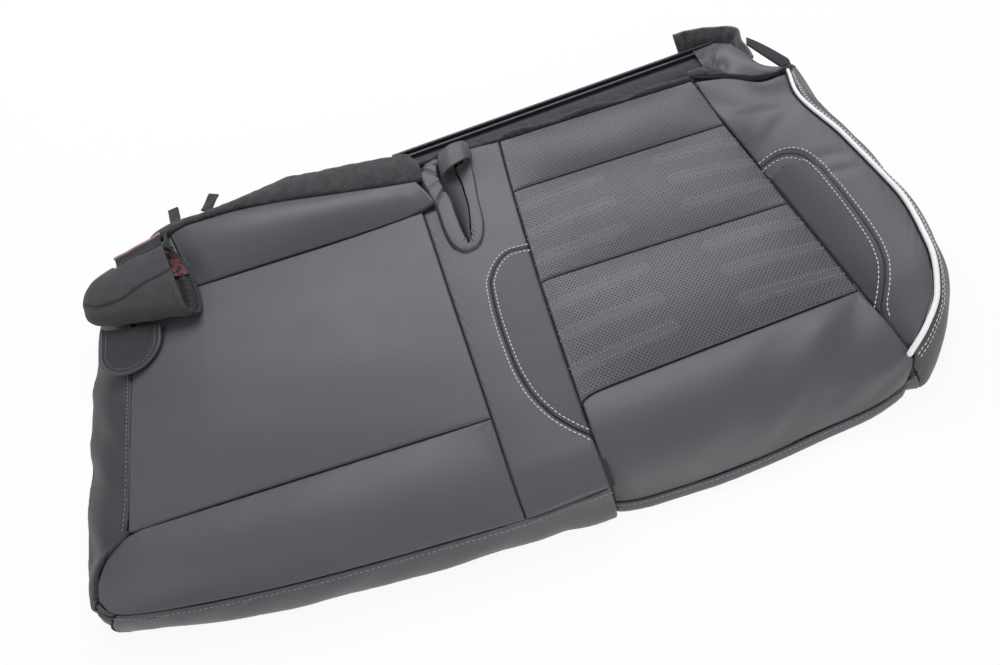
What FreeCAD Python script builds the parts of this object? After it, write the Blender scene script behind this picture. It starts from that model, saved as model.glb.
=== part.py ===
import FreeCAD, Part
import math
import os

import Sketcher
from FreeCAD import Vector

# Sewn trim cover for the cushion of a split rear bench: the centre place and one outboard place.
# X runs across the bench from the centre place to the outboard place, Y from front to rear, Z up.
# The origin is on the surface that the cover lies on, below the middle of its outline.

doc = FreeCAD.newDocument("bench_cushion_cover")
sheet = doc.addObject("Spreadsheet::Sheet", "Sizes")

SIZES = [
    # Plan of the seams.
    ("left_seam_x", -432, "seam between centre place and inner side panel"),
    ("centre_place_width", 390, "left seam to strip seam, on the mid line"),
    ("strip_width", 105.5, "plain strip between the two places, on the mid line"),
    ("strip_slant", 0.042, "strip seam runs towards the outboard side at the front"),
    ("outer_place_width", 292.5, "perforated insert of the outboard place, on the mid line"),
    ("outer_seam_slant", 0.092, "bolster seam runs outwards at the front"),
    ("strip_seam_bow", 7.9, "how far the seam beside the outboard insert bows"),
    ("strip_seam_slant", 0.044, "lean of that seam, outwards at the rear"),
    ("front_seam_y", -297, "front seam of the centre place"),
    ("outer_front_y", -305, "front seam of the outboard place"),
    ("thigh_seam_y", -187, "seam behind the centre thigh panel"),
    ("outer_thigh_seam_y", -184, "seam behind the outboard thigh panel, on its middle"),
    ("thigh_seam_skew", 20, "how much further back that seam ends beside the bolster"),
    ("front_band_length", 144, "front perforated band"),
    ("middle_band_length", 143, "middle perforated band"),
    ("rear_band_length", 84, "rear perforated band, to the felt hem"),
    ("valley_seam_y", 119, "seam in the valley before the rear roll"),
    ("rear_roll_depth", 92, "valley seam to felt hem, at the left end"),
    ("rear_roll_taper", 50, "how much shallower the rear roll is beside the strip"),
    # Heights above the surface that the cover lies on.
    ("seam_height", 50, "top seams"),
    ("left_seam_height", 45, "seam of the inner side panel"),
    ("valley_height", 40, "valley seam"),
    ("valley_rise", 6, "rise of the valley seam where it meets the strip"),
    ("front_seam_height", 40, "front seam of the centre place"),
    ("outer_front_height", 15, "front seam of the outboard place"),
    ("roll_height", 58, "felt hem behind the rear roll"),
    ("ridge_height", 83, "white piping along the bolster"),
    ("ridge_rear_drop", 13, "fall of the piping to its rear end"),
    ("ridge_front_drop", 25, "fall of the piping to its front end"),
    # Crowns.
    ("insert_crown", 9, "crown of the centre insert"),
    ("band_crown", 7, "crown of each perforated band"),
    ("thigh_crown", 14, "crown of the centre thigh panel"),
    ("outer_thigh_crown", 20, "crown of the outboard thigh panel"),
    ("roll_crown", 17, "crown of the rear roll"),
    ("strip_crown", 4, "crown of the plain strip"),
    ("bolster_crown", 9, "crown of the bolster panel"),
    ("wall_bulge", 5, "how far skirts and side panels bulge"),
    # Cover material.
    ("panel_thickness", 5, "foam-backed leatherette of the top panels"),
    ("wall_thickness", 3.5, "leatherette of skirts and side panels"),
    ("felt_thickness", 3, "nonwoven felt of hems and flaps"),
    ("seam_gap", 0.4, "two panels on a seam"),
    ("seat_gap", 0.3, "a piece on what carries it"),
    # Bolster, side panels and skirts.
    ("bolster_width", 90, "bolster seam to piping at the widest"),
    ("side_reach", 51, "how far the outer side panel leans out"),
    ("inner_reach", 75, "how far the inner side panel leans out"),
    ("skirt_reach", 11, "how far the front skirts lean out"),
    ("piping_radius", 3, "white piping"),
    ("strip_patch_depth", 57, "D-shaped patch of the strip, from its straight seam"),
    ("strip_patch_length", 248, "D-shaped patch of the strip, along its straight seam"),
    ("strip_patch_rear_y", 11, "rear end of the strip patch"),
    ("bolster_patch_depth", 42, "D-shaped patch of the bolster, in plan"),
    ("bolster_patch_length", 232, "D-shaped patch of the bolster, along its straight seam"),
    ("bolster_patch_rear_y", 21, "rear end of the bolster patch"),
    # Rear hems, flap and retainer rail.
    ("hem_top_depth", 22, "felt hem, front to back on top"),
    ("hem_lean", 12, "how far the back of the felt hem leans out"),
    ("flap_front_y", 222, "front edge of the rear flap"),
    ("flap_length", 33, "rear flap, to the rail"),
    ("flap_thickness", 2.5, "nonwoven rear flap"),
    ("flap_wave", 4, "waves of the rear flap"),
    ("rail_length", 486, "retainer rail"),
    ("rail_width", 16, "retainer rail"),
    ("rail_base", 2.5, "web of the rail"),
    ("rail_height", 11, "rail with its ridges"),
    ("rail_ridge", 3, "width of a ridge"),
    ("rail_slant", 3, "degrees that the rail lies off the bench's width"),
    ("rail_end_gap", 26, "end of the rail to the line of the piping's end"),
    ("corner_flap_height", 34, "felt flap at the rear corner"),
    ("corner_flap_length", 66, "felt flap at the rear corner"),
    ("tongue_length", 92, "stiff tongue at the rear corner"),
    ("tongue_width", 14, "stiff tongue at the rear corner"),
    ("tongue_thickness", 2.5, "stiff tongue at the rear corner"),
    # Buckle pocket in the plain strip.
    ("pocket_offset", -12.75, "middle of the buckle pocket, from the middle of the strip"),
    ("pocket_front_y", 27, "front end of the buckle pocket"),
    ("pocket_length", 136, "buckle pocket, front to rear"),
    ("pocket_width", 50, "buckle pocket over its rim"),
    ("rim_width", 15, "soft rim of the pocket"),
    ("rim_height", 15, "soft rim of the pocket"),
    ("liner_wall", 2, "fabric of the pocket's liner"),
    ("liner_drop", 34, "how deep the liner hangs"),
    ("strap_width", 24, "strap over the pocket's rear end"),
    ("strap_rise", 12, "arch of the strap"),
    # Buckle sleeve and flap at the left rear.
    ("sleeve_length", 138, "fabric sleeve for the buckle"),
    ("sleeve_left_x", -486, "closed end of the sleeve"),
    ("sleeve_depth", 112, "sleeve at its mouth"),
    ("sleeve_height", 38, "sleeve at its mouth"),
    ("sleeve_wall", 2.5, "fabric of the sleeve"),
    ("sleeve_centre_y", 113, "middle of the sleeve"),
    ("sleeve_base_z", 47, "underside of the sleeve"),
    ("mouth_skew", 0.36, "slant of the sleeve's mouth"),
    ("sleeve_strip_depth", 27, "seam allowance behind the sleeve"),
    ("lining_wall", 2, "lining of the sleeve"),
    ("buckle_flap_width", 76, "rounded flap in front of the sleeve"),
    ("buckle_flap_length", 61, "rounded flap in front of the sleeve"),
    ("buckle_flap_base_z", 48.6, "underside of the rounded flap"),
    ("buckle_flap_thickness", 4, "rounded flap in front of the sleeve"),
    ("tab_width", 14, "felt tab"),
    ("tab_length", 30, "felt tab"),
    ("tab_thickness", 2, "felt tab"),
    # Tie-down listings under the seams and retainers on the hems.
    ("listing_radius", 4.2, "sleeve of the listing"),
    ("listing_tail", 2, "thickness of the listing's tail"),
    ("listing_drop", 9, "seam underside to the listing wire"),
    ("wire_radius", 1.4, "listing wire"),
    ("wire_gap", 0.3, "wire in its sleeve"),
    ("hook_height", 15, "hem retainer"),
    ("hook_depth", 7, "hook of the hem retainer"),
    ("hook_wall", 1.8, "plastic of the hem retainer"),
]

for row, (name, value, note) in enumerate(SIZES, start=1):
    sheet.set(f"A{row}", name)
    sheet.set(f"B{row}", str(value))
    sheet.set(f"C{row}", note)
    sheet.setAlias(f"B{row}", name)
doc.recompute()


def size(name):
    """A driving dimension, from the sheet."""
    return float(sheet.get(name))


def cell(text):
    """An expression for a property, with {name} for each driving dimension."""
    for name, _value, _note in SIZES:
        text = text.replace("{" + name + "}", "Sizes." + name)
    return text


GAP = size("seam_gap")
SEAT = size("seat_gap")
PANEL = size("panel_thickness")
WALL = size("wall_thickness")
FELT = size("felt_thickness")
TOP = size("seam_height")

# Interpolation between hand-chosen knots


def through(knots, at):
    """A smooth curve through (place, value) knots, which doesn't swing past them."""
    if at <= knots[0][0]:
        return knots[0][1]
    if at >= knots[-1][0]:
        return knots[-1][1]
    slopes = [(b[1] - a[1]) / (b[0] - a[0]) for a, b in zip(knots, knots[1:])]
    tangents = [slopes[0]]
    for before, after in zip(slopes, slopes[1:]):
        tangents.append(0 if before * after <= 0 else 2 * before * after / (before + after))
    tangents.append(slopes[-1])
    i = max(k for k in range(len(slopes)) if at >= knots[k][0])
    span = knots[i + 1][0] - knots[i][0]
    u = (at - knots[i][0]) / span
    rise = knots[i + 1][1] - knots[i][1]
    start = tangents[i] * span
    end = tangents[i + 1] * span
    return knots[i][1] + u * (start + u * (3 * rise - 2 * start - end + u * (start + end - 2 * rise)))


def between(a, b, s):
    return a + (b - a) * s


# Seam lines in plan


def strip_left(y):
    """The seam between the centre insert and the plain strip."""
    return size("left_seam_x") + size("centre_place_width") - size("strip_slant") * y


def strip_right(y):
    """The seam between the plain strip and the outboard insert, which bows towards the strip."""
    straight = size("left_seam_x") + size("centre_place_width") + size("strip_width")
    reach = abs(size("front_seam_y"))
    return straight + size("strip_seam_bow") * (y / reach) ** 2 + size("strip_seam_slant") * y


def bolster_seam(y):
    """The seam between the outboard insert and the bolster."""
    middle = (size("left_seam_x") + size("centre_place_width") + size("strip_width")
              + size("outer_place_width"))
    return middle - size("outer_seam_slant") * y


OUTER_THIGH = size("outer_thigh_seam_y")
SKEW = size("thigh_seam_skew") / 2
FRONT_BAND = OUTER_THIGH + size("front_band_length")
MIDDLE_BAND = FRONT_BAND + size("middle_band_length")
REAR_BAND = MIDDLE_BAND + size("rear_band_length")

RIDGE_REAR_Y = 138
RIDGE_FRONT_Y = -260


def ridge(y):
    """A point of the piping's line along the top of the bolster."""
    plan = [(RIDGE_FRONT_Y, -0.06), (-243, 0.21), (-216, 0.51), (-162, 0.80), (-85, 0.97), (3, 0.95),
            (75, 0.86), (RIDGE_REAR_Y, 1.10)]
    fall = [(RIDGE_FRONT_Y, -size("ridge_front_drop")), (-216, -0.3 * size("ridge_front_drop")),
            (-162, -1), (75, -1), (RIDGE_REAR_Y, -size("ridge_rear_drop"))]
    x = bolster_seam(y) + through(plan, y) * size("bolster_width")
    return Vector(x, y, size("ridge_height") + through(fall, y))


def beside_ridge(y, distance, drop):
    """A point beside the piping's line, square to it in plan, outwards where distance is above 0."""
    run = ridge(y + 1) - ridge(y - 1)
    out = Vector(-run.y, run.x, 0) if run.y < 0 else Vector(run.y, -run.x, 0)
    out.normalize()
    return ridge(y) + out * distance + Vector(0, 0, -drop)


def centre_share(x):
    """How far across the centre place a place is, from 0 at the inner seam to 1 at the strip."""
    return (x - size("left_seam_x")) / size("centre_place_width")


def centre_front(x):
    """The front seam of the centre place and the strip, which rounds off at the left."""
    left = size("left_seam_x")
    knots = [(left - 33, 52), (left - 20, 36), (left, 28), (left + 54, 19), (left + 180, 7),
             (left + 300, 2), (left + 400, 0), (left + 490, 5)]
    return size("front_seam_y") + through(knots, x)


def outer_front(x):
    """The front seam of the outboard place, which rounds off at the right."""
    left = strip_right(size("front_seam_y"))
    knots = [(left, 6), (left + 25, 1), (left + 72, 0), (left + 140, 3), (left + 210, 11),
             (left + 267, 17), (left + 312, 29), (left + 325, 38)]
    return size("outer_front_y") + through(knots, x)


def roll_rear(x):
    """The seam between the rear roll and its felt hem."""
    knots = [(0, 44), (0.077, 6), (0.2, 0), (0.338, 1), (0.508, 9), (0.677, 23), (0.874, 40),
             (1.005, size("rear_roll_taper"))]
    return size("valley_seam_y") + size("rear_roll_depth") - through(knots, centre_share(x))


def hem_height(x):
    """The height of the seam between the centre place and its felt hem."""
    left = size("left_seam_x")
    return through([(left, size("left_seam_height") + 2), (left + 40, size("valley_height") + 9),
                    (left + 80, size("roll_height"))], x)


# Sections and lofts


def arc(a, through_point, b):
    return Part.Arc(a, through_point, b).toShape()


def line(a, b):
    return Part.makeLine(a, b)


def crowned(front, rear, crown, thickness):
    """A section of a crowned panel, in the upright plane through its front and rear points."""
    middle = (front + rear) * 0.5 + Vector(0, 0, crown)
    down = Vector(0, 0, -thickness)
    return Part.Wire([
        arc(front, middle, rear),
        line(rear, rear + down),
        arc(rear + down, middle + down, front + down),
        line(front + down, front),
    ])


def wall(top, foot, bulge, thickness):
    """A section of a wall that leans out from its top, cut upright at its top and level at its foot."""
    out = outward(top, foot)
    belly = wall_belly(top, foot, bulge)
    inward = out * -thickness
    under = top + Vector(0, 0, -thickness)
    return Part.Wire([
        arc(top, belly, foot),
        line(foot, foot + inward),
        arc(foot + inward, belly + inward, under),
        line(under, top),
    ])


def outward(top, foot):
    out = Vector(foot.x - top.x, foot.y - top.y, 0)
    out.normalize()
    return out


def wall_belly(top, foot, bulge):
    return (top + foot) * 0.5 + outward(top, foot) * bulge + Vector(0, 0, bulge)


def inside_foot(top, foot, bulge, height):
    """How far inside its foot a wall's inner face is, at a height."""
    edge = arc(top, wall_belly(top, foot, bulge), foot)
    high, low = edge.ParameterRange
    for _ in range(20):
        middle = (high + low) / 2
        if edge.valueAt(middle).z > height:
            high = middle
        else:
            low = middle
    return WALL + (foot - edge.valueAt(high)) * outward(top, foot)


def hem_section(seam, back, foot, rise, thickness):
    """A section of a hem that arches back from a seam and falls to its foot."""
    out = Vector(0, 1, 0)
    crest = (seam + back) * 0.5 + Vector(0, 0, rise)
    belly = (back + foot) * 0.5 + out * (0.6 * rise)
    down = Vector(0, 0, -thickness)
    inward = out * -thickness
    return Part.Wire([
        arc(seam, crest, back),
        arc(back, belly, foot),
        line(foot, foot + inward),
        arc(foot + inward, belly + inward, back + inward + down),
        arc(back + inward + down, crest + down, seam + down),
        line(seam + down, seam),
    ])


def loft(sections):
    return Part.makeLoft(sections, True, True)


def add(label, shape):
    """A sub-part whose shape is lofted from sections."""
    feature = doc.addObject("Part::Feature", label)
    feature.Shape = shape
    feature.Label = label
    nodes.append(feature)
    return feature


nodes = []

ACROSS = (0, 0.05, 0.18, 0.38, 0.62, 0.82, 0.95, 1)


def swell(s, crown):
    """The crown at a share of the way across, pulled down at both seams."""
    return max(0.08, 1 - (2 * s - 1) ** 4) * crown


# Centre place


def valley_z(s):
    """The height of the valley seam, at a share of its length towards the strip."""
    return size("valley_height") + size("valley_rise") * max(0, (s - 0.62) / 0.38) ** 2


def centre_insert():
    front_y = size("thigh_seam_y") + GAP / 2
    rear_y = size("valley_seam_y") - GAP / 2
    sections = []
    for s in ACROSS:
        front_x = between(size("left_seam_x") + GAP / 2, strip_left(front_y) - GAP / 2, s)
        rear_x = between(size("left_seam_x") + GAP / 2, strip_left(rear_y) - GAP / 2, s)
        front = Vector(front_x, front_y, between(size("left_seam_height"), TOP, min(1, 4 * s)))
        rear = Vector(rear_x, rear_y, valley_z(s))
        sections.append(crowned(front, rear, swell(s, size("insert_crown")) + 2, PANEL))
    add("centre_insert_panel", loft(sections))


def thigh_rear(x):
    """The rear edge of the centre thigh panel, which turns forward left of the inner seam."""
    left = size("left_seam_x")
    knots = [(left - 33, -40), (left - 24, -20), (left - 6, -4), (left + 20, 0)]
    return size("thigh_seam_y") + through(knots, x)


def centre_thigh():
    left = size("left_seam_x")
    right = strip_left(size("front_seam_y"))
    stations = [left - 33, left - 26, left - 12, left + 10, left + 50, left + 140, left + 240,
                left + 330, right - 20, right - GAP / 2]
    sections = []
    for x in stations:
        inward = min(1, (x - left + 34) / 50)
        rear_x = min(x, strip_left(size("thigh_seam_y")) - GAP / 2)
        if x == stations[-2]:
            rear_x -= 8
        front = Vector(x, centre_front(x) + GAP / 2, size("front_seam_height"))
        rear_z = between(size("left_seam_height") - 3, TOP, max(0, inward))
        rear = Vector(rear_x, thigh_rear(x) - GAP / 2, rear_z)
        edge = swell((x - stations[0]) / (stations[-1] - stations[0]), 1)
        sections.append(crowned(front, rear, max(2.5, edge * size("thigh_crown")), PANEL))
    add("centre_thigh_panel", loft(sections))


def rear_roll():
    """The roll behind the valley seam, whose left end is drawn in beside the buckle sleeve."""
    left = size("left_seam_x")
    sections = []
    for s in (0, 0.03, 0.08, 0.2, 0.4, 0.6, 0.8, 0.95, 1):
        front_x = between(left + 92, strip_left(size("valley_seam_y")) - GAP / 2, s)
        rear_x = between(left + 62, strip_left(roll_rear(-40)) - GAP / 2, s)
        front = Vector(front_x, size("valley_seam_y") + GAP / 2, valley_z(s))
        edge = swell(s, 1)
        rear = Vector(rear_x, roll_rear(rear_x) - GAP / 2, hem_height(rear_x))
        crown = edge * size("roll_crown") * (rear.y - front.y) / size("rear_roll_depth")
        sections.append(crowned(front, rear, max(2, crown), PANEL))
    add("centre_rear_roll", loft(sections))


def buckle_corner():
    """The panel below the buckle sleeve, from the valley seam to the hem."""
    left = size("left_seam_x") + GAP / 2
    sections = []
    for run in (0.2, 28, 62 - 2 * GAP):
        front = Vector(left + run * 92 / 62, size("valley_seam_y") + GAP / 2, size("valley_height"))
        rear_x = left + run
        rear = Vector(rear_x, roll_rear(rear_x) - GAP, hem_height(rear_x) - 1)
        sections.append(crowned(front, rear, 2, PANEL))
    add("buckle_corner_panel", loft(sections))


# Plain strip with its patch and the pocket's cut-out


def strip_seam_z(y):
    """The height of the strip's seams: level, falling to the front seam and rising to the hem."""
    front = size("front_seam_y")
    knots = [(front, size("front_seam_height")), (front + 22, TOP - 3.5), (front + 50, TOP),
             (size("valley_seam_y"), TOP), (REAR_BAND, size("roll_height") - 2)]
    return through(knots, y)


def patch_prism(side_x, patch, side, turn, grow):
    """An upright prism on a D-shaped outline: a straight side with a bowed one facing it.

    turn is the share of its length in which its rear corner is rounded.
    """
    length = size(patch + "_length")
    depth = size(patch + "_depth")
    rear_y = size(patch + "_rear_y")

    def at(across, along):
        y = rear_y + grow - along * (length + 2 * grow)
        return Vector(side_x(y) + side * (across * (depth + grow)), y, 0)

    behind = -0.4
    corners = [at(behind, 0), at(0.7 - turn, 0), at(1, turn), at(0.96, 0.55), at(0.32, 0.93), at(0, 1),
               at(behind, 1.05)]
    outline = Part.Wire([
        line(corners[0], corners[1]),
        arc(corners[1], at(0.965 - 0.35 * turn, 0.3 * turn), corners[2]),
        line(corners[2], corners[3]),
        arc(corners[3], at(0.77, 0.78), corners[4]),
        line(corners[4], corners[5]),
        line(corners[5], corners[6]),
        line(corners[6], corners[0]),
    ])
    return Part.Face(outline).extrude(Vector(0, 0, 2 * size("ridge_height")))


def pocket_centre():
    """The centre of the pocket's half-round front end."""
    x = (strip_left(0) + strip_right(0)) / 2 + size("pocket_offset")
    return Vector(x, size("pocket_front_y") + size("pocket_width") / 2, 0)


def pocket_outline(grow):
    """The pocket's outline in plan: two straight legs joined by a half round at the front."""
    radius = size("pocket_width") / 2 + grow
    centre = pocket_centre()
    rear_y = size("pocket_front_y") + size("pocket_length") + grow
    left = centre + Vector(-radius, 0, 0)
    right = centre + Vector(radius, 0, 0)
    front = centre + Vector(0, -radius, 0)
    turn = radius * math.sqrt(0.5)
    left_front = centre + Vector(-turn, -turn, 0)
    right_front = centre + Vector(turn, -turn, 0)
    return Part.Wire([
        arc(left, left_front, front),
        arc(front, right_front, right),
        line(right, Vector(right.x, rear_y, 0)),
        line(Vector(right.x, rear_y, 0), Vector(left.x, rear_y, 0)),
        line(Vector(left.x, rear_y, 0), left),
    ])


def strip_shape():
    sections = []
    front = size("front_seam_y")
    pocket_end = size("pocket_front_y") + size("pocket_length")
    stations = [front, front + 10, front + 25, front + 50, OUTER_THIGH, -60, 20, 80,
                size("valley_seam_y"), pocket_end, REAR_BAND]
    for y in stations:
        z = strip_seam_z(y)
        dip = through([(0, 0), (size("valley_seam_y"), 0.67), (REAR_BAND, 0)], y) * size("valley_rise")
        a = Vector(strip_left(y) + GAP / 2, y, z - dip)
        b = Vector(strip_right(y) - GAP / 2, y, z)
        if y == front:
            a.y = centre_front(a.x) + GAP / 2
            b.y = centre_front(b.x) + GAP / 2
        sections.append(crowned(a, b, size("strip_crown"), PANEL))
    return loft(sections)


def strip():
    shape = strip_shape()
    patch = patch_prism(strip_right, "strip_patch", -1, 0.3, 0)
    cut = patch_prism(strip_right, "strip_patch", -1, 0.3, GAP)
    pocket = Part.Face(pocket_outline(GAP)).extrude(Vector(0, 0, 2 * TOP))
    add("centre_strip_panel", shape.cut(cut).cut(pocket))
    add("centre_strip_patch", shape.common(patch))


# Outboard place


def thigh_line(x):
    """The seam behind the outboard thigh panel."""
    middle = (strip_right(OUTER_THIGH) + bolster_seam(OUTER_THIGH)) / 2
    half = size("outer_place_width") / 2
    return OUTER_THIGH + SKEW * max(-1.1, min(1.1, (x - middle) / half))


def band(label, front_line, rear_line, rear_z):
    """One perforated band of the outboard insert, crowned between its cross seams."""
    sections = []
    for s in ACROSS:
        ends = []
        for seam, offset, z in ((front_line, GAP / 2, TOP), (rear_line, -GAP / 2, rear_z)):
            x = 0
            y = seam(x)
            for _ in range(3):
                x = between(strip_right(y) + GAP / 2, bolster_seam(y) - GAP / 2, s)
                y = seam(x) + offset
            ends.append(Vector(x, y, z))
        sections.append(crowned(ends[0], ends[1], swell(s, size("band_crown")), PANEL))
    add(label, loft(sections))


def outer_inserts():
    band("outer_insert_front", thigh_line, lambda x: FRONT_BAND, TOP)
    band("outer_insert_middle", lambda x: FRONT_BAND, lambda x: MIDDLE_BAND, TOP)
    band("outer_insert_rear", lambda x: MIDDLE_BAND, lambda x: REAR_BAND, size("roll_height") - 2)


THIGH_SHARES = (0, 0.04, 0.12, 0.3, 0.5, 0.7, 0.85, 0.94, 0.98, 1)


def outer_front_x(s):
    """A place along the outboard front seam, as a share of its run."""
    left = strip_right(size("front_seam_y")) + GAP / 2
    return between(left, bolster_seam(size("outer_front_y") + 38) - GAP / 2, s)


def outer_thigh():
    """The panel that rolls over the front edge, with its right front corner rounded off."""
    left = strip_right(OUTER_THIGH) + GAP / 2
    right = bolster_seam(OUTER_THIGH + 1.1 * SKEW) - GAP / 2
    sections = []
    for s in THIGH_SHARES:
        x = between(left, right, s)
        front_x = outer_front_x(s)
        front = Vector(front_x, outer_front(front_x) + GAP / 2, size("outer_front_height"))
        rear = Vector(x, thigh_line(x) - GAP / 2, TOP)
        crown = size("outer_thigh_crown") * max(0.82, 1 - 0.18 * (2 * s - 1) ** 8)
        sections.append(crowned(front, rear, crown, PANEL))
    add("outer_thigh_panel", loft(sections))


# Bolster

RIDGE_STATIONS = (-248, -238, -227, -216, -203, -190, -176, -162, -143, -124, -85, -40, 3, 40, 75, 108,
                  RIDGE_REAR_Y)


def bolster_section(y, inset):
    seam = Vector(bolster_seam(y) + GAP / 2, y, TOP if y > OUTER_THIGH else TOP - 1)
    if y > REAR_BAND - 60:
        seam = seam + Vector(0, 0, (y - REAR_BAND + 60) * 0.1)
    edge = ridge(y)
    run = ridge(y + 1) - ridge(y - 1)
    edge.x -= inset * math.hypot(run.x, run.y) / abs(run.y)
    if y == RIDGE_REAR_Y:
        seam = Vector(bolster_seam(REAR_BAND) + GAP / 2, REAR_BAND - 4, size("roll_height") - 2)
    width = edge.x - seam.x
    return crowned(seam, edge, max(1.5, size("bolster_crown") * min(1, width / 60)), PANEL)


def bolster():
    inset = size("piping_radius") + SEAT
    shape = loft([bolster_section(y, inset) for y in RIDGE_STATIONS])
    patch = patch_prism(bolster_seam, "bolster_patch", 1, 0.18, 0)
    cut = patch_prism(bolster_seam, "bolster_patch", 1, 0.18, GAP)
    add("outer_bolster_panel", shape.cut(cut))
    add("outer_bolster_patch", shape.common(patch))


def piping():
    """White piping on the ridge: rings set square to its line and joined."""
    rings = []
    for y in (RIDGE_FRONT_Y + 4,) + RIDGE_STATIONS:
        tangent = ridge(y + 0.5) - ridge(y - 0.5)
        tangent.normalize()
        ring = Part.Circle(ridge(y), tangent, size("piping_radius"))
        rings.append(Part.Wire([ring.toShape()]))
    add("bolster_piping", loft(rings))


# Side panels and skirts


def side_foot(top):
    """The foot of the outer side panel below a point of the piping's line."""
    lean = [(RIDGE_FRONT_Y, 0.40), (-216, 0.55), (-162, 0.83), (-85, 0.95), (75, 1.30), (RIDGE_REAR_Y, 1.0)]
    sweep = [(RIDGE_FRONT_Y, -16), (-216, -8), (-162, 0), (75, 6), (RIDGE_REAR_Y, 58)]
    x = top.x + through(lean, top.y) * size("side_reach")
    return Vector(x, top.y + through(sweep, top.y), 0)


def side_top(y):
    return beside_ridge(y, size("piping_radius") + SEAT, 1)


def side_corner():
    """Top and foot of the outer side panel's front end, beside the outboard skirt."""
    end = side_top(RIDGE_FRONT_Y + 4)
    top = end + Vector(1, -8, -0.35 * end.z)
    return top, Vector(top.x + 5, top.y - 13, 0)


def outer_side():
    corner, corner_foot = side_corner()
    sections = [wall(corner, corner_foot, 2, WALL)]
    for y in (RIDGE_FRONT_Y + 4,) + RIDGE_STATIONS:
        top = side_top(y)
        sections.append(wall(top, side_foot(top), size("wall_bulge"), WALL))
    add("outer_side_panel", loft(sections))


def inner_side():
    """The inner side panel, which leans out to the floor and wraps the front left corner."""
    left = size("left_seam_x")
    reach = size("inner_reach")
    rear = size("valley_seam_y") + 46
    stations = [
        (rear, 0, 0.96), (60, 0, 1.0), (0, 0, 1.04), (-80, 0, 1.0), (-150, 0, 1.0),
        (size("thigh_seam_y"), -4, 0.97), (-207, -27, 0.92), (-228, -35, 0.80), (-244, -35, 0.70),
    ]
    aside = Vector(left - GAP / 2, rear + 1, size("left_seam_height"))
    sections = [wall(aside, aside + Vector(-1, 22, -aside.z), 2, WALL)]
    for y, shift, share in stations:
        top = Vector(left + shift - GAP / 2, y, size("left_seam_height") - 0.08 * abs(shift))
        foot = Vector(left - reach * share, y - 0.1 * abs(shift), 0)
        sections.append(wall(top, foot, size("wall_bulge"), WALL))
    add("inner_side_panel", loft(sections))


def corner_welt():
    """The folded, stitched band that closes the front left corner."""
    left = size("left_seam_x")
    front = size("front_seam_y")
    tops = [Vector(left - 33.5, front + 48.2, 41), Vector(left - 27, front + 40.2, 40),
            Vector(left - 15.5, front + 34.2, 39)]
    feet = [Vector(left - 49, front + 47, 0), Vector(left - 43, front + 38, 0), Vector(left - 31, front + 29, 0)]
    add("corner_welt", loft([wall(a, b, 3, WALL) for a, b in zip(tops, feet)]))


def centre_skirt_pair(x):
    """Top and foot of the centre skirt at one place along the front seam."""
    left = size("left_seam_x")
    top = Vector(x, centre_front(x) - GAP / 2, size("front_seam_height"))
    lean = [(left, 0.4), (left + 60, 0.75), (left + 200, 1.0), (left + 400, 1.0), (left + 490, 1.6)]
    return top, Vector(x, top.y - through(lean, x) * size("skirt_reach"), 0)


def outer_skirt_pair(x):
    top = Vector(x, outer_front(x) - GAP / 2, size("outer_front_height"))
    return top, Vector(x, top.y - 0.45 * size("skirt_reach"), 0)


def skirts():
    left = size("left_seam_x")
    middle = strip_right(size("front_seam_y"))
    centre = [left - 14, left + 5, left + 54, left + 120, left + 200, left + 300, left + 400,
              left + 460, middle - GAP / 2]
    outer = [outer_front_x(s) for s in THIGH_SHARES]
    corner = Vector(left - 14.8, size("front_seam_y") + 32.4, 38.6)
    pairs = [(corner, corner + Vector(-15.4, -6, -corner.z))]
    pairs += [centre_skirt_pair(x) for x in centre[1:]]
    add("centre_front_skirt", loft([wall(a, b, size("wall_bulge"), WALL) for a, b in pairs]))
    top, foot = side_corner()
    beside = foot + Vector(-1.5, 0, 0)
    pairs = [outer_skirt_pair(x) for x in outer]
    pairs.append((beside + (top - foot) * (size("outer_front_height") / top.z), beside))
    add("outer_front_skirt", loft([wall(a, b, 2, WALL) for a, b in pairs]))
    hem_retainer("centre_front_retainer", [centre_skirt_pair(x) for x in centre[2:-1]], size("wall_bulge"))
    hem_retainer("outer_front_retainer", [outer_skirt_pair(x) for x in outer[2:-3]], 2, 0.6)


def hem_retainer(label, pairs, bulge, share=1):
    """A J-shaped plastic profile along the inside of a wall's foot, its hook turned in."""
    thick = size("hook_wall")
    height = size("hook_height") * share
    depth = size("hook_depth")
    lip = 0.5 * height
    base = SEAT
    outline = [(0, base), (depth, base), (depth, lip), (depth - thick, lip), (depth - thick, base + thick),
               (thick, base + thick), (thick, height), (0, height)]
    sections = []
    for top, foot in pairs:
        inward = outward(foot, top)
        start = SEAT + max(inside_foot(top, foot, bulge, z) for z in (base, height))
        points = [foot + inward * (start + across) + Vector(0, 0, up) for across, up in outline]
        sections.append(Part.makePolygon(points + points[:1]))
    add(label, loft(sections))


def side_retainers():
    left = size("left_seam_x")
    pairs = []
    for y in (-150, -80, 0, 60):
        top = Vector(left - GAP / 2, y, size("left_seam_height"))
        pairs.append((top, Vector(left - size("inner_reach"), y, 0)))
    hem_retainer("inner_side_retainer", pairs, size("wall_bulge"), 0.6)
    pairs = [(side_top(y), side_foot(side_top(y))) for y in (-124, -85, -40, 3, 40)]
    hem_retainer("outer_side_retainer", pairs, size("wall_bulge"), 0.8)


# Rear hems


def hem_share(x):
    """The depth of the centre hem's top, as a share: it is thickest in its middle."""
    knots = [(0, 0.4), (0.072, 0.55), (0.159, 0.6), (0.318, 0.75), (0.467, 1.45), (0.608, 2.0),
             (0.769, 1.9), (0.915, 1.75), (0.99, 1.5)]
    return through(knots, centre_share(x))


def hem_foot_y(x):
    """The foot of the centre hem."""
    return roll_rear(x) + GAP / 2 + size("hem_top_depth") * hem_share(x) + size("hem_lean")


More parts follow.
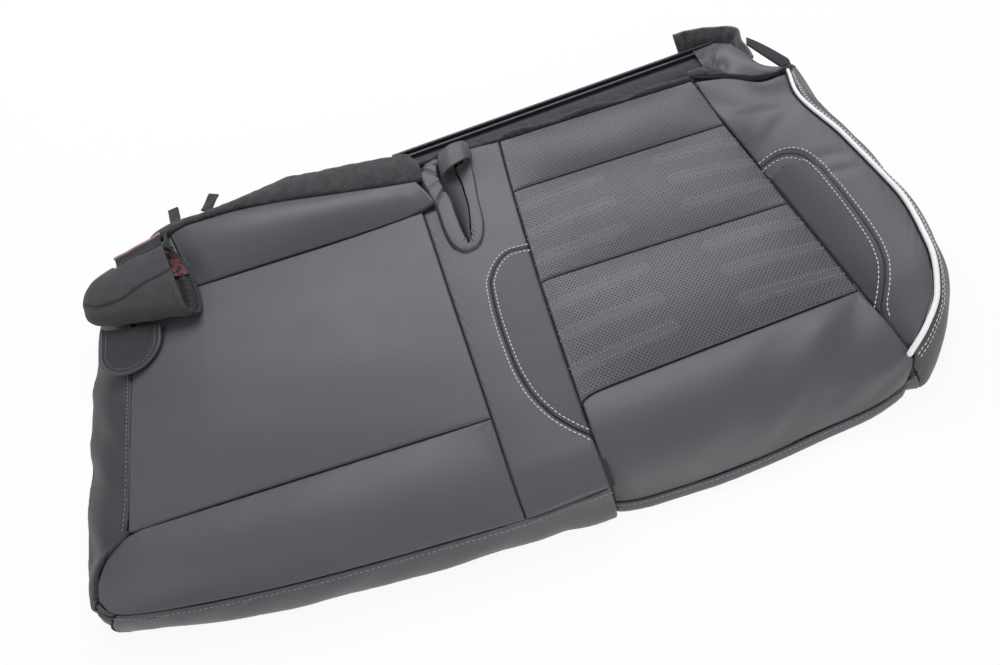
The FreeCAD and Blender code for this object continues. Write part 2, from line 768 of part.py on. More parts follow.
def centre_hem():
    sections = []
    for run in (0.001, 0.072, 0.159, 0.205, 0.318, 0.467, 0.608, 0.769, 0.915, 0.99):
        x = size("left_seam_x") + run * size("centre_place_width")
        share = hem_share(x)
        seam = Vector(x, roll_rear(x) + GAP / 2, hem_height(x))
        back = seam + Vector(0, size("hem_top_depth") * share, -2)
        foot = Vector(x, back.y + size("hem_lean"), 0)
        sections.append(hem_section(seam, back, foot, 5 * min(1, share), FELT))
    add("centre_rear_hem", loft(sections))


def outer_hem():
    """The gathered felt hem behind the outboard insert."""
    left = strip_left(REAR_BAND)
    right = bolster_seam(REAR_BAND)
    gathers = (4, 6, 3, 7, 4, 6.5, 3, 6, 4)
    sections = []
    for i, rise in enumerate(gathers):
        x = between(left + 8, right, i / (len(gathers) - 1))
        seam = Vector(x, REAR_BAND + GAP / 2, size("roll_height") - 2)
        back = seam + Vector(0, 0.6 * size("hem_top_depth"), -1)
        foot = Vector(x, size("flap_front_y") - GAP, 0)
        sections.append(hem_section(seam, back, foot, rise, FELT))
    add("outer_rear_hem", loft(sections))


def rear_gusset():
    """The leatherette gusset that closes the rear of the bolster down to the floor."""
    rear = ridge(RIDGE_REAR_Y)
    seam_x = bolster_seam(REAR_BAND)
    corner = side_top(RIDGE_REAR_Y)
    aside = Vector(-1, 1, 0) * GAP
    tops = [Vector(seam_x + 1.5, REAR_BAND + 5, size("roll_height") - 4),
            Vector(seam_x + 32, REAR_BAND - 12, size("roll_height")),
            Vector(seam_x + 66, REAR_BAND - 26, size("roll_height") + 5),
            corner + aside]
    feet = [Vector(seam_x + 2, size("flap_front_y") + 6, 0), Vector(seam_x + 60, size("flap_front_y") + 16, 0),
            Vector(seam_x + 112, size("flap_front_y") + 8, 0), side_foot(corner) + aside]
    bulges = (10, 10, 9, size("wall_bulge"))
    add("rear_gusset", loft([wall(a, b, bulge, WALL) for a, b, bulge in zip(tops, feet, bulges)]))
    add("bolster_rear_hem", hem_strip(tops))


def hem_strip(points):
    """A folded felt strip along a seam."""
    half = FELT / 2
    sections = []
    for p in points:
        corners = [p + Vector(0, FELT + dy, dz) for dy, dz in
                   ((-half, SEAT), (half, SEAT), (half, 2 * FELT), (-half, 2 * FELT))]
        sections.append(Part.makePolygon(corners + corners[:1]))
    return loft(sections)


# Rear flap with its retainer rail


def rail_left():
    """The left end of the rail, which ends a set distance before the corner flap."""
    reach = size("rail_length") * math.cos(math.radians(size("rail_slant")))
    return ridge(RIDGE_REAR_Y).x - size("rail_end_gap") - reach


def flap_front(x, right):
    """The front edge of the rear flap, which clears the foot of the centre hem and the gusset."""
    front = size("flap_front_y") + through([(right - 80, 0), (right - 40, 23)], x)
    if x > strip_left(REAR_BAND):
        return front
    return max(front, hem_foot_y(x) + GAP)


def rear_flap():
    length = size("flap_length")
    slant = math.tan(math.radians(size("rail_slant")))
    left = rail_left() + 6
    right = rail_left() + size("rail_length") - 30
    thick = size("flap_thickness")
    count = 11
    sections = []
    for i in range(count):
        x = between(left, right, i / (count - 1))
        wave = size("flap_wave") * (1 if i % 2 else 0.35)
        front = Vector(x, flap_front(x, right), 0)
        rear = Vector(x, size("flap_front_y") + length + slant * (x - left), 0)
        sections.append(crowned(front + Vector(0, 0, thick), rear + Vector(0, 0, thick), wave, thick))
    add("rear_flap", loft(sections))


def new_body(label):
    body = doc.addObject("PartDesign::Body", label)
    body.Label = label
    nodes.append(body)
    return body


def plane_of(body, role):
    return next(f for f in body.Origin.OriginFeatures if f.Role == role)


def new_sketch(body, name, role):
    sketch = body.newObject("Sketcher::SketchObject", name)
    sketch.AttachmentSupport = [(plane_of(body, role), "")]
    sketch.MapMode = "FlatFace"
    return sketch


def polygon_sketch(body, name, role, corners):
    """A closed outline whose corners are placed by expressions of the driving dimensions."""
    sketch = new_sketch(body, name, role)
    places = [[sheet_value(text) for text in corner] for corner in corners]
    count = len(corners)
    for i in range(count):
        a = Vector(places[i][0], places[i][1], 0)
        b = Vector(places[(i + 1) % count][0], places[(i + 1) % count][1], 0)
        sketch.addGeometry(Part.LineSegment(a, b), False)
    for i in range(count):
        sketch.addConstraint(Sketcher.Constraint("Coincident", i, 2, (i + 1) % count, 1))
    for i in range(count):
        for kind, k in (("DistanceX", 0), ("DistanceY", 1)):
            index = sketch.addConstraint(Sketcher.Constraint(kind, -1, 1, i, 1, places[i][k]))
            sketch.setExpression(f"Constraints[{index}]", cell(corners[i][k]))
    return sketch


def sheet_value(text):
    """The value of an expression, worked out here for a sketch's first outline."""
    sheet.set("E1", "=" + cell(text).replace("Sizes.", ""))
    doc.recompute()
    value = float(sheet.get("E1"))
    sheet.clear("E1")
    return value


def pad(body, sketch, length):
    feature = body.newObject("PartDesign::Pad", "Pad")
    feature.Profile = sketch
    feature.setExpression("Length", cell(length))
    body.Tip = feature
    sketch.Visibility = False
    return feature


def rail():
    """The extruded retainer rail: a web with three ridges and a hooked rear lip."""
    body = new_body("rear_retainer_rail")
    ridge_step = "({rail_width} - {rail_ridge}) / 2"
    base = "{rail_base}"
    high = "{rail_height}"
    low = "({rail_height} * 0.72)"
    corners = [("1", "1"), ("{rail_width} + 1", "1"), ("{rail_width} + 1", f"{high} + 1"),
               (f"{{rail_width}} + 1 - {{rail_ridge}}", f"{high} + 1"),
               (f"{{rail_width}} + 1 - {{rail_ridge}}", f"{base} + 1"),
               (f"1 + {ridge_step} + {{rail_ridge}} / 2 + 1", f"{base} + 1"),
               (f"1 + {ridge_step} + {{rail_ridge}} / 2 + 1", f"{low} + 1"),
               (f"1 + {ridge_step} + 1 - {{rail_ridge}} / 2", f"{low} + 1"),
               (f"1 + {ridge_step} + 1 - {{rail_ridge}} / 2", f"{base} + 1"), ("1", f"{base} + 1")]
    sketch = polygon_sketch(body, "RailProfile", "YZ_Plane", corners)
    pad(body, sketch, "{rail_length}")
    start_y = size("flap_front_y") + size("flap_length") + SEAT - 1
    place = Vector(rail_left(), start_y, -1 + 0.2)
    turn = FreeCAD.Rotation(Vector(0, 0, 1), size("rail_slant"))
    body.Placement = FreeCAD.Placement(place, turn)


def corner_flap():
    """The felt flap behind the end of the rail, curled towards the gusset."""
    end = ridge(RIDGE_REAR_Y)
    base_y = size("flap_front_y") + size("flap_length") + size("rail_width") + 28
    left = end.x - 6 - size("corner_flap_length")
    length = size("corner_flap_length")
    points = [Vector(left, base_y + 2, 0), Vector(left + 34, base_y + 3, 0),
              Vector(left + length - 6, base_y - 2, 0), Vector(left + length + 6, base_y - 16, 0),
              Vector(left + length + 4, base_y - 34, 0), Vector(left + length + 4, base_y - 67.4, 0)]
    heights = (1.0, 0.86, 0.74, 0.8, 0.7, 0.6)
    away = (Vector(-0.1, 1, 0), Vector(0, 1, 0), Vector(0.45, 0.9, 0), Vector(1, 0.25, 0), Vector(1, -0.05, 0),
            Vector(1, 0, 0))
    sections = []
    for p, share, out in zip(points, heights, away):
        out.normalize()
        top = p + Vector(0, 0, size("corner_flap_height") * share) + out * 5
        foot = p + Vector(0, 0, 1)
        corners = [foot, top, top + out * FELT, foot + out * FELT]
        sections.append(Part.makePolygon(corners + corners[:1]))
    add("corner_flap", loft(sections))


def tongue():
    """The stiff tongue that stands out behind the bolster's rear end."""
    body = new_body("corner_tongue")
    wide = "{tongue_width}"
    long = "{tongue_length}"
    corners = [("1", "1"), (f"{wide} + 1", "1"), (f"{wide} + 1 - 3", f"{long} * 0.45"),
               (f"{wide} * 0.4 - 6", f"{long} * 0.86"), ("-14", f"{long} + 1"), ("-20", f"{long} - 1"),
               ("-11", f"{long} * 0.7"), ("-3", f"{long} * 0.4")]
    sketch = polygon_sketch(body, "TongueOutline", "XY_Plane", corners)
    pad(body, sketch, "{tongue_thickness}")
    end = ridge(RIDGE_REAR_Y)
    body.Placement = FreeCAD.Placement(Vector(end.x + 6, end.y + 23.5, end.z - 14), FreeCAD.Rotation())


# Buckle pocket


def pocket():
    liner_top = TOP - PANEL + size("rim_height") - 3
    outer = Part.Face(pocket_outline(-size("rim_width") - SEAT))
    inner = Part.Face(pocket_outline(-size("rim_width") - SEAT - size("liner_wall")))
    lower = liner_top - size("liner_drop") - size("rim_height")
    ring = outer.cut(inner)
    ring.translate(Vector(0, 0, lower))
    add("buckle_pocket_liner", ring.extrude(Vector(0, 0, liner_top - lower)))
    add("buckle_pocket_rim", rim_shape())
    strap()


def rim_shape():
    """The soft rim: a rounded section carried down one leg, round the front and up the other."""
    half = size("rim_width") / 2
    low = TOP - PANEL + 1
    high = low + size("rim_height")
    radius = size("pocket_width") / 2 - half
    centre = pocket_centre()
    rear_y = size("pocket_front_y") + size("pocket_length")
    stations = [(Vector(centre.x - radius, rear_y, 0), Vector(-1, 0, 0)),
                (Vector(centre.x - radius, centre.y, 0), Vector(-1, 0, 0))]
    for angle in (202.5, 225, 247.5, 270, 292.5, 315, 337.5):
        out = Vector(math.cos(math.radians(angle)), math.sin(math.radians(angle)), 0)
        stations.append((centre + out * radius, out))
    stations.append((Vector(centre.x + radius, centre.y, 0), Vector(1, 0, 0)))
    stations.append((Vector(centre.x + radius, rear_y, 0), Vector(1, 0, 0)))
    sections = []
    for p, out in stations:
        inner = p - out * half + Vector(0, 0, low)
        outer = p + out * half + Vector(0, 0, low)
        shoulder = high - 0.45 * size("rim_height")
        inner_top = p - out * half + Vector(0, 0, shoulder)
        outer_top = p + out * half + Vector(0, 0, shoulder)
        crest = p + Vector(0, 0, high)
        sections.append(Part.Wire([line(inner, outer), line(outer, outer_top),
                                   arc(outer_top, crest, inner_top), line(inner_top, inner)]))
    return loft(sections)


def strap():
    """The short strap that arches over the rear end of the pocket."""
    rear_y = size("pocket_front_y") + size("pocket_length") - size("strap_width") / 2
    rim_top = TOP - PANEL + 1 + size("rim_height") + SEAT
    reach = size("pocket_width") / 2 - size("rim_width") / 2
    x = pocket_centre().x
    thick = 2
    sections = []
    for y, slide in ((rear_y - size("strap_width") / 2, 0), (rear_y + size("strap_width") / 2, 4)):
        a = Vector(x - reach, y - slide, rim_top)
        b = Vector(x + reach, y + slide, rim_top)
        sections.append(crowned(a + Vector(0, 0, thick), b + Vector(0, 0, thick), size("strap_rise"), thick))
    add("buckle_pocket_strap", loft(sections))


# Buckle sleeve, rounded flap and tabs


def sleeve_point(share, across, up, shrink=0):
    """A point of the sleeve: a share of its length, of its half depth and of its height."""
    x = size("sleeve_left_x") + share * size("sleeve_length")
    depth = [(0, 0.24), (0.04, 0.40), (0.14, 0.58), (0.5, 0.80), (1, 1)]
    height = [(0, 0.35), (0.04, 0.55), (0.14, 0.72), (0.5, 0.92), (1, 1)]
    aside = across * (through(depth, share) * size("sleeve_depth") / 2 - shrink)
    tall = through(height, share) * size("sleeve_height") - 2 * shrink
    return Vector(x - size("mouth_skew") * share * aside, size("sleeve_centre_y") + 6 * (1 - share) + aside,
                  size("sleeve_base_z") + shrink + up * tall)


def sleeve_section(share, shrink):
    """A flattened round across the sleeve, slanted more towards its mouth."""
    rear_low = sleeve_point(share, 0.72, 0, shrink)
    front_low = sleeve_point(share, -0.72, 0, shrink)
    front_high = sleeve_point(share, -0.70, 0.86, shrink)
    rear_high = sleeve_point(share, 0.70, 0.86, shrink)
    return Part.Wire([
        line(rear_low, front_low),
        arc(front_low, sleeve_point(share, -1, 0.42, shrink), front_high),
        arc(front_high, sleeve_point(share, 0, 1, shrink), rear_high),
        arc(rear_high, sleeve_point(share, 1, 0.42, shrink), rear_low),
    ])


def sleeve():
    wall_t = size("sleeve_wall")
    outer = loft([sleeve_section(s, 0) for s in (0, 0.04, 0.14, 0.5, 0.62, 1)])
    bore = loft([sleeve_section(s, wall_t) for s in (0.08, 0.14, 0.5, 0.62, 1, 1.04)])
    add("buckle_sleeve", outer.cut(bore))
    out = loft([sleeve_section(s, wall_t + SEAT) for s in (0.62, 0.97)])
    hole = loft([sleeve_section(s, wall_t + SEAT + size("lining_wall")) for s in (0.6, 1)])
    add("buckle_sleeve_lining", out.cut(hole))
    add("sleeve_hem_strip", loft([strip_section(share) for share in (0.3, 0.4, 0.6, 0.8)]))


def strip_section(share):
    """The seam allowance that stands out behind the sleeve."""
    start = sleeve_point(share, 1, 0.42) + Vector(0, SEAT, 0)
    end = start + Vector(-4, size("sleeve_strip_depth"), -12.6)
    thick = Vector(0, 0, size("sleeve_wall"))
    corners = [start, end, end + thick, start + thick]
    return Part.makePolygon(corners + corners[:1])


def buckle_flap():
    """The rounded flap in front of the sleeve: a plate with a half-round front end."""
    base = Vector(0, 0, size("buckle_flap_base_z"))
    radius = size("buckle_flap_width") / 2
    centre_x = size("left_seam_x") + 3
    left_rear = sleeve_point(0.16, -1, 0) + Vector(0, 0, -size("sleeve_base_z"))
    right_rear = sleeve_point(0.7, -1, 0) + Vector(0, 0, -size("sleeve_base_z"))
    left_rear.x = centre_x - radius
    right_rear.x = centre_x + radius
    front_y = right_rear.y - size("buckle_flap_length") + radius
    turn = radius * math.sqrt(0.5)
    left = Vector(centre_x - radius, front_y, 0)
    right = Vector(centre_x + radius, front_y, 0)
    tip = Vector(centre_x, front_y - radius, 0)
    outline = Part.Wire([
        arc(base + left, base + Vector(centre_x - turn, front_y - turn, 0), base + tip),
        arc(base + tip, base + Vector(centre_x + turn, front_y - turn, 0), base + right),
        line(base + right, base + right_rear),
        line(base + right_rear, base + left_rear),
        line(base + left_rear, base + left),
    ])
    add("buckle_flap", Part.Face(outline).extrude(Vector(0, 0, size("buckle_flap_thickness"))))


def tabs():
    for label, shift, turn, back in (("hem_tab_left", 56, 8, 0.2), ("hem_tab_right", 98, -24, 8.4)):
        body = new_body(label)
        wide = "{tab_width}"
        long = "{tab_length}"
        corners = [("1", "1"), (f"{wide} + 1", "1"), (f"{wide} + 1", f"{long} - 2"),
                   (f"{wide} - 2", f"{long} + 1"), ("1", f"{long} + 1")]
        sketch = polygon_sketch(body, "TabOutline", "XY_Plane", corners)
        pad(body, sketch, "{tab_thickness}")
        x = size("left_seam_x") + shift
        y = roll_rear(x) + GAP / 2 + size("hem_top_depth") * hem_share(x) + back
        place = Vector(x, y, size("valley_height") + 10)
        body.Placement = FreeCAD.Placement(place, FreeCAD.Rotation(Vector(0, 0, 1), turn))


# Tie-down listings


def listing(label, start, end, underside):
    """A sewn listing under a seam: a tube with a flat tail, and the steel wire that it holds."""
    run = Vector(end[0] - start[0], end[1] - start[1], 0)
    turn = FreeCAD.Rotation(Vector(0, 0, 1), run)
    centre = Vector(start[0], start[1], underside - size("listing_drop"))
    tube = doc.addObject("Part::Cylinder", label + "_tube")
    tube.setExpression("Radius", cell("{listing_radius}"))
    tail = doc.addObject("Part::Box", label + "_tail")
    tail.setExpression("Length", cell("{listing_tail}"))
    tail.setExpression("Width", cell("{listing_drop} - {seat_gap}"))
    bore = doc.addObject("Part::Cylinder", label + "_bore")
    bore.setExpression("Radius", cell("{wire_radius} + {wire_gap}"))
    wire = doc.addObject("Part::Cylinder", label + "_wire")
    wire.setExpression("Radius", cell("{wire_radius}"))
    for piece in (tube, bore, wire):
        piece.Height = run.Length
    tail.Height = run.Length
    tail.Placement = FreeCAD.Placement(Vector(-size("listing_tail") / 2, 0, 0), FreeCAD.Rotation())
    fuse = doc.addObject("Part::MultiFuse", label + "_body")
    fuse.Shapes = [tube, tail]
    cut = doc.addObject("Part::Cut", label)
    cut.Base = fuse
    cut.Tool = bore
    upright = FreeCAD.Rotation(Vector(1, 0, 0), Vector(0, 0, 1), Vector(0, 0, 0), "YZX")
    along = FreeCAD.Rotation(Vector(-run.y, run.x, 0), Vector(0, 0, 1), run, "ZYX")
    cut.Placement = FreeCAD.Placement(centre, along)
    wire.Placement = FreeCAD.Placement(centre, along)
    cut.Label = "listing_sleeve_" + label
    wire.Label = "listing_wire_" + label
    nodes.append(cut)
    nodes.append(wire)


def listings():
    under = TOP - PANEL
    valley_under = size("valley_height") - PANEL
    thigh = size("thigh_seam_y")
    valley = size("valley_seam_y")
    left = size("left_seam_x")
    listing("strip_left", (strip_left(thigh + 14), thigh + 14), (strip_left(-30), -30), under)
    listing("strip_right", (strip_right(OUTER_THIGH + 20), OUTER_THIGH + 20), (strip_right(0), 0), under)
    listing("bolster", (bolster_seam(OUTER_THIGH + 24), OUTER_THIGH + 24),
            (bolster_seam(MIDDLE_BAND - 8), MIDDLE_BAND - 8), under)
    listing("valley", (left + 100, valley), (strip_left(valley) - 150, valley), valley_under)
    listing("centre_thigh", (left + 150, thigh), (strip_left(thigh) - 14, thigh), under)
    start_x = strip_right(OUTER_THIGH) + 14
    end_x = bolster_seam(OUTER_THIGH) - 14
    listing("outer_thigh", (start_x, thigh_line(start_x)), (end_x, thigh_line(end_x)), under)


centre_insert()
centre_thigh()
rear_roll()
buckle_corner()
strip()
outer_inserts()
outer_thigh()
bolster()
piping()
outer_side()
inner_side()
corner_welt()
skirts()
side_retainers()
centre_hem()
outer_hem()
rear_gusset()
rear_flap()
rail()
corner_flap()
tongue()
pocket()
sleeve()
buckle_flap()
tabs()
listings()
doc.recompute()

for item in doc.Objects:
    if "Invalid" in item.State or "Error" in item.State:
        raise RuntimeError(f"{item.Label} failed: {item.State}")
for node in nodes:
    shape = node.Shape
    if shape.isNull() or not shape.isValid() or not shape.Solids:
        raise RuntimeError(f"{node.Label} has no valid solid")

os.makedirs("parts", exist_ok=True)
for node in nodes:
    node.Shape.exportStep(f"parts/{node.Label}.step")
print(len(nodes), "sub-parts")
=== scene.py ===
"""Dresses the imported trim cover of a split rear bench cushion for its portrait.

Every panel is laid out from the seam plan of the cover, in millimetres, and is made as a sewn
shell whose edges roll into the seams. Threads, perforations and felt fibres are laid on top of it.
"""

from __future__ import annotations

import logging
import math
from dataclasses import dataclass, field
from enum import Enum
from typing import Callable, Optional, Sequence

import bmesh
import bpy
import numpy as np
from mathutils import Matrix, Vector
from mathutils.bvhtree import BVHTree


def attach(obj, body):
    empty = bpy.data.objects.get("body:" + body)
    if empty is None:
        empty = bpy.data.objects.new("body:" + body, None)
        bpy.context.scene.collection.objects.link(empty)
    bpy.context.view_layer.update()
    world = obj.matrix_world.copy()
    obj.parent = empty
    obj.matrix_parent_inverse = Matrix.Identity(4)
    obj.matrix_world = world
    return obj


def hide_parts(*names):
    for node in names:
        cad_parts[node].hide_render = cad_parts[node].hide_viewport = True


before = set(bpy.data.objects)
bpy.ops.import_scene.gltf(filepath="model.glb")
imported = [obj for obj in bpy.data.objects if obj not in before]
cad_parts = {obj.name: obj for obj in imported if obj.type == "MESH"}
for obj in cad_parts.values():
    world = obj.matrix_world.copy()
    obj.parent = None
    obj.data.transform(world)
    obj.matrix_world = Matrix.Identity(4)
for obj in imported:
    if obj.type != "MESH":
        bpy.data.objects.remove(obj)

MM = 0.001
Array = np.ndarray
Knots = Sequence[tuple[float, float]]
Tree, Node, Socket, Piece = bpy.types.NodeTree, bpy.types.Node, bpy.types.NodeSocket, bpy.types.Object
LOG = logging.getLogger("cover")
UP = np.array([0, 0, 1.0])
REARWARD = np.array([0, 1.0, 0])
LOWEST = 0.2  # how far above the floor cloth stays, in millimetres
HEM_DEPTH = 22  # the depth of the centre hem's top where its share is 1
EDGE_STEPS = np.array([0, 0.35, 0.8, 1.4, 2.1, 3.0, 4.1, 5.6, 7.6])  # rows beside a seam
WAVE_PARTS, FOLD_PARTS = 5, 7  # how many sines make up a wave and a field of dents
LEAST_SWELL = 0.08
PUCKER_LENGTH, PUCKER_REACH, PUCKER_START = 17, 9, 2.5  # how puckers run along a seam and fade away from it
WRINKLE_START = 18  # how far from its seams a panel is free to wrinkle in full
PATCH_DIP, PATCH_GROOVE = 3, 1.9  # how deep and how wide a panel dips along its patch's seam
DROP_FROM = 120  # the height that rays start from
BACKING_REACH = 5.5  # how far a backing strip goes in behind each edge of a slit


# Curves and sections


def through(knots: Knots, at: Array | float) -> Array:
    """A smooth curve through (place, value) knots that doesn't swing past them.

    Args:
        knots: The places and values, in order of place.
        at: Where the curve is read.

    Returns:
        The values at those places.
    """
    xs = np.array([k[0] for k in knots], float)
    ys = np.array([k[1] for k in knots], float)
    slopes = np.diff(ys) / np.diff(xs)
    tangents = np.concatenate([slopes[:1], np.zeros(len(xs) - 2), slopes[-1:]])
    same = slopes[:-1] * slopes[1:] > 0
    total = np.where(same, slopes[:-1] + slopes[1:], 1)
    tangents[1:-1] = np.where(same, 2 * slopes[:-1] * slopes[1:] / total, 0)
    x = np.clip(np.asarray(at, float), xs[0], xs[-1])
    i = np.clip(np.searchsorted(xs, x, side="right") - 1, 0, len(xs) - 2)
    span = xs[i + 1] - xs[i]
    u = (x - xs[i]) / span
    rise = ys[i + 1] - ys[i]
    start, end = tangents[i] * span, tangents[i + 1] * span
    return ys[i] + u * (start + u * (3 * rise - 2 * start - end + u * (start + end - 2 * rise)))


def shares(count: int) -> Array:
    """Even shares from 0 to 1."""
    return np.linspace(0, 1, count)


def stack(x: Array | float, y: Array | float, z: Array | float) -> Array:
    """Coordinates of the same shape, or single numbers, as points."""
    return np.stack(np.broadcast_arrays(x, y, z), axis=-1).astype(float)


def mix(a: Array | float, b: Array | float, share: Array | float) -> Array:
    """A value on the way from a to b."""
    return a + (b - a) * share


def ruled(a: Array, b: Array, share: Array) -> Array:
    """A surface of straight rows from the points of line a to those of line b."""
    return a[:, None] + (b - a)[:, None] * share[None, :, None]


def held(value: Array | float) -> Array:
    """A value held between 0 and 1."""
    return np.clip(value, 0, 1)


def unit(v: Array) -> Array:
    """Vectors brought to length 1."""
    return v / np.maximum(np.linalg.norm(v, axis=-1, keepdims=True), 1e-9)


def arcs(a: Array, middle: Array, b: Array, share: Array) -> Array:
    """Points on the circular arcs from a through middle to b.

    Args:
        a: Starts, one per row.
        middle: A point that each arc passes.
        b: Ends.
        share: Shares of each arc's length.

    Returns:
        An array of rows, shares and coordinates.
    """
    ab, ac = middle - a, b - a
    axis = np.cross(ab, ac)
    size = np.maximum((axis ** 2).sum(-1, keepdims=True), 1e-12)
    to_centre = (np.cross(axis, ab) * (ac ** 2).sum(-1, keepdims=True)
                 + np.cross(ac, axis) * (ab ** 2).sum(-1, keepdims=True)) / (2 * size)
    centre = a + to_centre
    out = -to_centre
    side = np.cross(unit(axis), out)
    turn = np.arctan2(((b - centre) * side).sum(-1), ((b - centre) * out).sum(-1)) % (2 * math.pi)
    angle = turn[:, None, None] * share[None, :, None]
    return centre[:, None] + np.cos(angle) * out[:, None] + np.sin(angle) * side[:, None]


def along(path: Array) -> Array:
    """How far along a path each of its points is."""
    return np.concatenate([[0], np.cumsum(np.linalg.norm(np.diff(path, axis=0), axis=1))])


def evenly(path: Array, step: float, smooth: bool = True) -> Array:
    """A path with its points about a step apart, rounded through its own points.

    Args:
        path: The points that it goes through.
        step: The distance wanted between points.
        smooth: Whether it is rounded through them or runs straight between them.
    """
    far = along(path)
    at = np.linspace(0, far[-1], max(2, int(round(far[-1] / step)) + 1))
    if smooth and len(path) > 2:
        return np.stack([through(list(zip(far, path[:, k])), at) for k in range(path.shape[1])], -1)
    return np.stack([np.interp(at, far, path[:, k]) for k in range(path.shape[1])], -1)


def spaced(length: float, step: float, edges: bool = True) -> Array:
    """Shares of a length, closer together at both ends, where a seam is rolled in."""
    fine = EDGE_STEPS if edges else EDGE_STEPS[:1]
    inner = length - 2 * fine[-1]
    count = max(2, int(round(inner / step)))
    middle = fine[-1] + inner * np.arange(1, count) / count
    return np.concatenate([fine, middle, length - fine[::-1]]) / length


def waves(x: Array, length: float, seed: int) -> Array:
    """A soft irregular wave between about -1 and 1, the same on every run."""
    rng = np.random.default_rng(seed)
    total = np.zeros_like(np.asarray(x, float))
    for share, phase in zip(rng.uniform(0.55, 1.7, WAVE_PARTS), rng.uniform(0, 6.28, WAVE_PARTS)):
        total = total + np.sin(2 * math.pi * np.asarray(x) / (length * share) + phase)
    return total / (0.62 * WAVE_PARTS)


def folds(points: Array, length: float, seed: int) -> Array:
    """Soft irregular dents over a surface, about -1 to 1."""
    rng = np.random.default_rng(seed)
    total = np.zeros(points.shape[:-1])
    for _ in range(FOLD_PARTS):
        way = unit(rng.normal(size=3)) / (length * rng.uniform(0.6, 1.6))
        total += np.sin(2 * math.pi * (points @ way) + rng.uniform(0, 6.28))
    return total / (0.55 * FOLD_PARTS)


def bump(x: Array, middle: float, width: float) -> Array:
    """A soft hump of height 1 at its middle."""
    return np.exp(-((x - middle) / width) ** 2)


def rolled(distance: Array, radius: float, depth: float) -> Array:
    """How far a surface dips where it rolls into a seam that far away."""
    share = held(1 - distance / radius)
    return depth * (1 - np.sqrt(1 - share ** 2))


def nearest(points: Array, path: Array) -> Array:
    """The distance in plan from each point to a path."""
    flat = points.reshape(-1, points.shape[-1])[:, :2]
    best = np.full(len(flat), 1e9)
    for a, b in zip(path[:-1, :2], path[1:, :2]):
        run = b - a
        share = held(((flat - a) @ run) / max(run @ run, 1e-9))
        best = np.minimum(best, np.linalg.norm(flat - a - share[:, None] * run, axis=1))
    return best.reshape(points.shape[:-1])


def inside(points: Array, outline: Array) -> Array:
    """Which points lie inside an outline, in plan."""
    x, y = points[..., 0], points[..., 1]
    odd = np.zeros(x.shape, bool)
    for a, b in zip(outline, np.roll(outline, -1, axis=0)):
        crosses = (a[1] > y) != (b[1] > y)
        rise = b[1] - a[1] if b[1] != a[1] else 1e-9
        odd ^= crosses & (x < (b[0] - a[0]) * (y - a[1]) / rise + a[0])
    return odd


def swell(share: Array) -> Array:
    """The crown at a share of the way across a panel, pulled down at both seams."""
    return np.maximum(LEAST_SWELL, 1 - (2 * share - 1) ** 4)


# Surfaces


class Side(Enum):
    """Which way a piece's outer face looks."""

    UP = (0, 0, 1)
    LEFT = (-1, 0, 0.2)
    RIGHT = (1, 0, 0.2)
    FRONT = (0, -1, 0.2)
    REAR = (0, 1, 0.2)
    OWN = (0, 0, 0)


@dataclass
class Seams:
    """How the four edges of a panel roll in: the depth and the reach at each, in millimetres.

    The edges are the first and last row across, then the first and last along.
    """

    depth: tuple[float, float, float, float] = (3, 3, 3, 3)
    reach: tuple[float, float, float, float] = (5, 5, 5, 5)


@dataclass
class Sheet:
    """A grid of points in millimetres that a cloth piece follows."""

    points: Array
    facing: Side = Side.UP

    @property
    def normals(self) -> Array:
        """The direction that the surface's outer face looks in, at each point."""
        rows, columns = np.gradient(self.points, axis=0), np.gradient(self.points, axis=1)
        found = unit(np.cross(rows, columns))
        if self.facing is Side.OWN:
            return found
        return -found if float((found * np.array(self.facing.value)).sum(-1).mean()) < 0 else found

    def edge_distances(self) -> list[Array]:
        """The distances from each point to the four edges, along the surface."""
        found = []
        for axis in (0, 1):
            steps = np.linalg.norm(np.diff(self.points, axis=axis), axis=-1)
            pad = [(0, 0), (0, 0)]
            pad[axis] = (1, 0)
            far = np.cumsum(np.pad(steps, pad), axis=axis)
            whole = far[-1:, :] if axis == 0 else far[:, -1:]
            found += [far, whole - far]
        return found

    def moved(self, distance: Array) -> "Sheet":
        """The surface moved along its own direction."""
        return Sheet(self.points + self.normals * np.asarray(distance)[..., None], self.facing)

    def beside(self, edge: int, distance: float) -> tuple[Array, Array]:
        """A line on the surface that keeps its distance to an edge, for a row of stitches.

        Args:
            edge: The edge's number, as for seams.
            distance: How far from it the line runs, in millimetres.

        Returns:
            The line's points and the directions that the surface looks in there.
        """
        far = self.edge_distances()[edge]
        points, out = self.points, self.normals
        if edge > 1:
            far, points, out = far.T, points.transpose(1, 0, 2), out.transpose(1, 0, 2)
        if edge % 2:
            far, points, out = far[::-1], points[::-1], out[::-1]
        line = [[np.interp(distance, far[:, j], values[:, j, k]) for k in range(3)]
                for values in (points, out) for j in range(far.shape[1])]
        half = far.shape[1]
        return np.array(line[:half]), unit(np.array(line[half:]))

    def sewn(self, seams: Seams, pucker: float = 0.35, seed: int = 1) -> "Sheet":
        """The surface with its edges rolled into the seams and drawn into small puckers.

        Args:
            seams: The depth and reach of each edge.
            pucker: How deep the puckers are beside a seam.
            seed: Which irregular pattern they take.
        """
        dip = np.zeros(self.points.shape[:2])
        crimp = np.zeros_like(dip)
        distances = self.edge_distances()
        for k, far in enumerate(distances):
            if seams.depth[k] <= 0:
                continue
            dip = np.maximum(dip, rolled(far, seams.reach[k], seams.depth[k]))
            beside = distances[2] if k < 2 else distances[0]
            fade = np.exp(-far / PUCKER_REACH) * (1 - np.exp(-far / PUCKER_START))
            crimp += fade * waves(beside + 3 * far, PUCKER_LENGTH, seed * 10 + k)
        return self.moved(pucker * crimp - dip)


